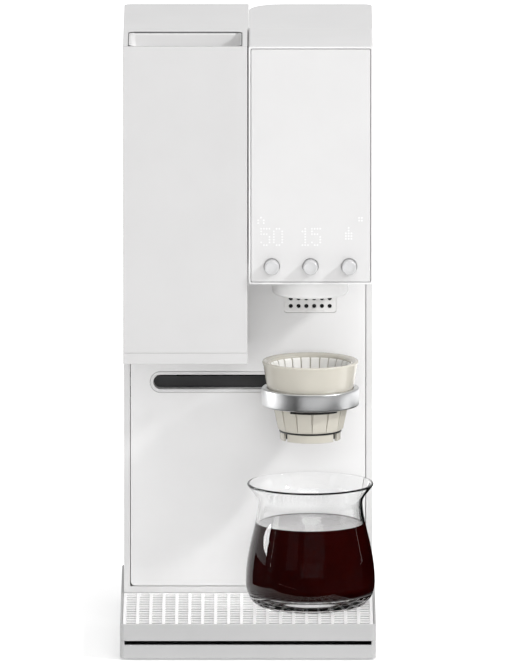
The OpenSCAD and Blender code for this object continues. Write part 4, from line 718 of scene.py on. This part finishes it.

# Dripper: a glossy cream moulding with a flared skirt and a broad rolled lip above the ring. Flutes inside,
# painted paler than the cream as painted light, hold the paper off the wall, flat ribs stiffen the cone
# below the ring, and a notched foot ring lets the coffee through. Near-black rings in the foot and thin dark
# blocks just under the ring are painted shade in those hollows.
drip_low, drip_foot_high, drip_floor, drip_high = 145.3, 152.3, 154.3, 201.5
foot_out, foot_in, cone_end, cone_top, skirt_low, rim_r = 21.5, 19.5, 22.4, 26.6, 29.6, 34.0
lip_in = 28.4
dripper_cream = finish_of(
    "dripper_cream", [(0.485, 0.462, 0.405), (0.515, 0.49, 0.431)], (0.16, 0.24), 0.8, 0.006, patch=25
)
dripper_cream.node_tree.nodes["Principled BSDF"].inputs["Coat Weight"].default_value = 0.25
drip_profile = (
    [(0, drip_foot_high), (foot_in, drip_foot_high)]
    + arc(foot_in + 0.4, drip_low + 0.4, 0.4, 180, 270, 3)
    + arc(foot_out - 0.4, drip_low + 0.4, 0.4, 270, 360, 3)
    + [(foot_out, drip_foot_high - 0.6), (foot_out + 0.3, drip_foot_high)]
    + arc(cone_end - 0.5, drip_foot_high + 0.5, 0.5, 270, 353, 4)
    + [(cone_top, ring_seat), (skirt_low - 0.2, ring_seat), (skirt_low, ring_seat + 0.2)]
    + [(31.2, 186.0), (33.2, 197.5)]
    + arc(rim_r - 1.1, drip_high - 1.1, 1.1, -15, 80, 8)
    + [(31.6, drip_high - 0.25), (30.2, drip_high - 0.75)]
    + arc(lip_in + 0.9, drip_high - 2.1, 0.9, 70, 180, 6)
    + [(25.0, ring_seat), (20.4, drip_floor + 0.6), (19.8, drip_floor), (0, drip_floor)]
)
dripper = turned_piece("dripper_moulding", drip_profile, (pour_x, pour_y, 0), 144)


def about_axis(angle):
    """The move that puts a piece made at the origin on the pouring axis, turned by the angle."""
    return Matrix.Translation((pour_x * MM, pour_y * MM, 0)) @ Matrix.Rotation(angle, 4, "Z")


notch_w, notch_turn, notch_reach, notch_roof, overcut = 4.4, 55, 4, 1, 1
notch_turns = (-90 - notch_turn, -90 + notch_turn, 90 - notch_turn, 90 + notch_turn)
notch_moves = [about_axis(math.radians(turn)) for turn in notch_turns]
notch_low = (foot_in - notch_reach, -notch_w / 2, drip_low - overcut)
notch_high = (foot_out + overcut, notch_w / 2, drip_foot_high - notch_roof)
notch = start_block("notch", notch_low, notch_high)
combine(dripper, gather("notches", copies_of(notch, notch_moves)), "DIFFERENCE")
drain_r, drain_ring, drain_count, drain_depth = 1.8, 10.75, 8, 6
drain_out = Matrix.Translation((drain_ring * MM, 0, 0))
drain_moves = [about_axis(2 * math.pi * k / drain_count) @ drain_out for k in range(drain_count)]
drain_moves.append(about_axis(0))
bpy.ops.object.select_all(action="DESELECT")
bpy.ops.mesh.primitive_cylinder_add(
    vertices=24, radius=drain_r * MM, depth=drain_depth * MM, location=(0, 0, drip_floor * MM)
)
drain = bpy.context.active_object
bpy.ops.object.transform_apply(location=True, rotation=True, scale=True)
combine(dripper, gather("drains", copies_of(drain, drain_moves)), "DIFFERENCE")
bpy.ops.object.shade_smooth_by_angle(angle=sharp_angle)


def rib_row(name, sections, width, count, turn=0.0):
    """One rib, extruded through sections of (radius in, radius out, height) and copied round the axis."""
    bpy.ops.object.select_all(action="DESELECT")
    bpy.ops.mesh.primitive_plane_add(size=1)
    rib = bpy.context.active_object
    rib.name = name
    r0, r1, z = sections[0]
    rib.scale = ((r1 - r0) * MM, width * MM, 1)
    rib.location = ((r0 + r1) / 2 * MM, 0, z * MM)
    bpy.ops.object.transform_apply(location=True, rotation=True, scale=True)
    bpy.ops.object.mode_set(mode="EDIT")
    bpy.ops.mesh.select_all(action="SELECT")
    for before, after in zip(sections, sections[1:]):
        out = ((after[0] + after[1]) / 2 - (before[0] + before[1]) / 2) * MM
        up = (after[2] - before[2]) * MM
        bpy.ops.mesh.extrude_region_move(TRANSFORM_OT_translate={"value": (out, 0, up)})
        bpy.ops.transform.resize(
            value=((after[1] - after[0]) / (before[1] - before[0]), 1, 1),
            center_override=((after[0] + after[1]) / 2 * MM, 0, after[2] * MM),
        )
    bpy.ops.mesh.select_all(action="SELECT")
    bpy.ops.mesh.normals_make_consistent(inside=False)
    bpy.ops.object.mode_set(mode="OBJECT")
    ease_edges(rib, 0.3)
    return copies_of(rib, [about_axis(turn + 2 * math.pi * k / count) for k in range(count)])


flute_w, flute_count = 5.7, 26
flute_sections = [(18.6, 20.9, 154.8), (23.6, 25.6, 177.3), (26.9, 28.9, 197.0), (27.9, 28.9, 198.6)]
flutes = rib_row("flute", flute_sections, flute_w, flute_count)
# Painted light: the flutes take a paler copy of the cream, which stands for the light inside the bowl.
flute_painted_light = finish_of(
    "flute_painted_light", [(0.74, 0.73, 0.705), (0.78, 0.77, 0.745)], (0.3, 0.4), 0.8, 0.006, patch=25
)
fit(gather("dripper_flutes", flutes), flute_painted_light, "dripper", "dripper_cream")
rib_w, rib_count, rib_turn = 10.1, 14, math.radians(3)
rib_sections = [(21.2, 22.9, 153.2), (24.3, 26.3, 169.4), (24.6, 25.4, 170.6)]
outer_ribs = rib_row("outer_rib", rib_sections, rib_w, rib_count, rib_turn)
dripper = gather("dripper_moulding", [dripper] + outer_ribs)
fit(dripper, dripper_cream, "dripper", "dripper_cream", "dripper")
# Painted shade: near-black rings in the foot stand for the dark behind the notches and in its groove.
shade_ring_sections = ((16.5, 19.3, 146.6, 152.2), (21.4, 22.0, 151.0, 152.6))
shade_pieces = [
    turned_piece("shade_ring", [(r0, z0), (r1, z0), (r1, z1), (r0, z1), (r0, z0)], (pour_x, pour_y, 0), 96)
    for r0, r1, z0, z1 in shade_ring_sections
]
# Painted shade: thin near-black blocks just under the ring stand for its shadow on the cone.
shade_pane_in, shade_pane_out, shade_pane_half, shade_pane_low, shade_pane_high = 26.0, 26.62, 1.95, 166.9, 169.5
shade_pane_count, shade_pane_start, shade_pane_step = 10, -118, 7.6
shade_pane_moves = [about_axis(math.radians(shade_pane_start + shade_pane_step * k)) for k in range(shade_pane_count)]
shade_pane = start_block("shade_pane", (shade_pane_in, -shade_pane_half, shade_pane_low), (shade_pane_out, shade_pane_half, shade_pane_high))
shade_pieces += copies_of(shade_pane, shade_pane_moves)
fit(gather("dripper_painted_shade", shade_pieces), black_plastic, "dripper", "black_plastic")

# Carafe: blown glass, thin in the wall and heavy in the floor, with a full belly, a drawn-in neck and a wide
# rim. Its inside is a rounded bowl, and the coffee in it stands at two thirds of the height.
carafe_z, carafe_h = 25.9, 86.5
glass_wall, glass_floor = 1.8, 8.5
foot_at, belly_at, neck_at, rim_at = (33.0, 0.0), (45.7, 17.5), (37.0, 73.5), (44.5, carafe_h)


def bow(a, b, c, d, count):
    """Points along a cubic curve, without its first point."""
    found = []
    for k in range(1, count + 1):
        t = k / count
        s = 1 - t
        weights = (s ** 3, 3 * s * s * t, 3 * s * t * t, t ** 3)
        found.append(tuple(sum(w * p[i] for w, p in zip(weights, (a, b, c, d))) for i in (0, 1)))
    return found


rise, lip = neck_at[1] - belly_at[1], rim_at[1] - neck_at[1]
swell, flare = belly_at[0] - foot_at[0], rim_at[0] - neck_at[0]
glass_outside = [foot_at] + bow(
    foot_at, (foot_at[0] + swell * 0.6, 0), (belly_at[0], belly_at[1] * 0.45), belly_at, 20
) + bow(
    belly_at, (belly_at[0], belly_at[1] + rise * 0.41), (neck_at[0], neck_at[1] - rise * 0.25), neck_at, 28
) + bow(
    neck_at, (neck_at[0], neck_at[1] + lip * 0.36),
    (rim_at[0] - flare * 0.5, rim_at[1] - lip * 0.43), rim_at, 20
)


def set_in(line, depth):
    """The line moved to its inner side by depth, square to its own run."""
    found = []
    for k, here in enumerate(line):
        before, after = line[max(k - 1, 0)], line[min(k + 1, len(line) - 1)]
        run = Vector((after[0] - before[0], after[1] - before[1])).normalized()
        found.append((here[0] - run.y * depth, here[1] + run.x * depth))
    return found


belly_in = (belly_at[0] - glass_wall, belly_at[1])
glass_inside = [(foot_at[0], glass_floor)] + bow(
    (foot_at[0], glass_floor), ((foot_at[0] + belly_in[0]) / 2, glass_floor),
    (belly_in[0], (belly_at[1] + glass_floor) / 2), belly_in, 16
) + [p for p in set_in(glass_outside, glass_wall) if p[1] > belly_at[1] + 0.2]
rim_out, rim_in = glass_outside[-1], glass_inside[-1]
rim_mid = Vector(((rim_out[0] + rim_in[0]) / 2, (rim_out[1] + rim_in[1]) / 2))
rim_half = Vector(rim_out) - rim_mid
rim_round = [tuple(rim_mid + Matrix.Rotation(math.radians(a), 2) @ rim_half) for a in range(20, 180, 20)]
carafe_profile = [(0, 0.5), (foot_at[0] - 5, 0.5), (foot_at[0] - 3.5, 0.0)] + glass_outside + rim_round
carafe_profile += glass_inside[::-1] + [(0, glass_floor)]
glass_ior, coffee_ior = 1.47, 1.34
carafe_glass = finish_of(
    "carafe_glass", [(0.99, 0.995, 0.995), (1.0, 1.0, 1.0)], (0.0, 0.02), 14.0, 0.02, patch=60
)
glass_shader = carafe_glass.node_tree.nodes["Principled BSDF"]
glass_shader.inputs["Transmission Weight"].default_value = 1.0
glass_shader.inputs["IOR"].default_value = glass_ior
glass_shader.inputs["Specular IOR Level"].default_value = 0.35
carafe = turned_piece("carafe_blown", carafe_profile, (pour_x, pour_y, carafe_z), 160)
carafe.visible_shadow = False
fit(carafe, carafe_glass, "carafe", "carafe_glass", "carafe")
coffee_level, soak = 59.5, 0.15
coffee_line = [p for p in set_in(glass_inside, -soak) if p[1] < coffee_level - 0.5]
top_r = coffee_line[-1][0]
coffee_profile = [(0, glass_floor - soak)] + coffee_line
coffee_profile += [(top_r - soak, coffee_level - 0.5), (0, coffee_level - 1.2)]
coffee_dark = finish_of(
    "coffee_dark", [(0.009, 0.0003, 0.0002), (0.013, 0.0005, 0.0003)], (0.02, 0.05), 9.0, 0.002, patch=18
)
coffee_nodes, coffee_links = coffee_dark.node_tree.nodes, coffee_dark.node_tree.links
coffee_shader = coffee_nodes["Principled BSDF"]
coffee_shader.inputs["Specular IOR Level"].default_value = 0.02
# Where the glass meets the coffee at a low angle it mirrors, so there the colour gives way to silver.
glass_side = coffee_nodes.new("ShaderNodeFresnel")
glass_side.inputs["IOR"].default_value = coffee_ior / glass_ior
grazing = coffee_nodes.new("ShaderNodeMapRange")
grazing.inputs["From Min"].default_value = 0.03
coffee_links.new(glass_side.outputs["Fac"], grazing.inputs["Value"])
silvering = coffee_nodes.new("ShaderNodeMix")
silvering.data_type = "RGBA"
silver_into, silver_from, silver_to = silvering.inputs[0], silvering.inputs[6], silvering.inputs[7]
silver_to.default_value = (0.95, 0.93, 0.92, 1)
coffee_links.new(grazing.outputs["Result"], silver_into)
coffee_links.new(coffee_nodes["Color Ramp"].outputs["Color"], silver_from)
coffee_links.new(silvering.outputs[2], coffee_shader.inputs["Base Color"])
coffee_links.new(grazing.outputs["Result"], coffee_shader.inputs["Metallic"])
coffee = turned_piece("coffee", coffee_profile, (pour_x, pour_y, carafe_z), 128)
coffee.visible_shadow = False
fit(coffee, coffee_dark, "carafe", "carafe_glass")
skin_r = top_r - soak - 0.05
skin_profile = [
    (0, coffee_level - 1.1), (skin_r - 1.0, coffee_level - 1.0), (skin_r, coffee_level - 0.45),
    (skin_r, coffee_level), (skin_r - 0.35, coffee_level - 0.22), (skin_r - 1.0, coffee_level - 0.4),
    (skin_r - 2.4, coffee_level - 0.48), (0, coffee_level - 0.48),
]
coffee_mirror = finish_of(
    "coffee_mirror", [(0.011, 0.0012, 0.0006), (0.016, 0.002, 0.0009)], (0.02, 0.04), 9.0, 0.004
)
mirror_shader = coffee_mirror.node_tree.nodes["Principled BSDF"]
mirror_shader.inputs["IOR"].default_value = coffee_ior
mirror_shader.inputs["Coat Weight"].default_value = 1.0
coffee_skin = turned_piece("coffee_surface", skin_profile, (pour_x, pour_y, carafe_z), 128)
coffee_skin.visible_shadow = False
fit(coffee_skin, coffee_mirror, "carafe", "carafe_glass")
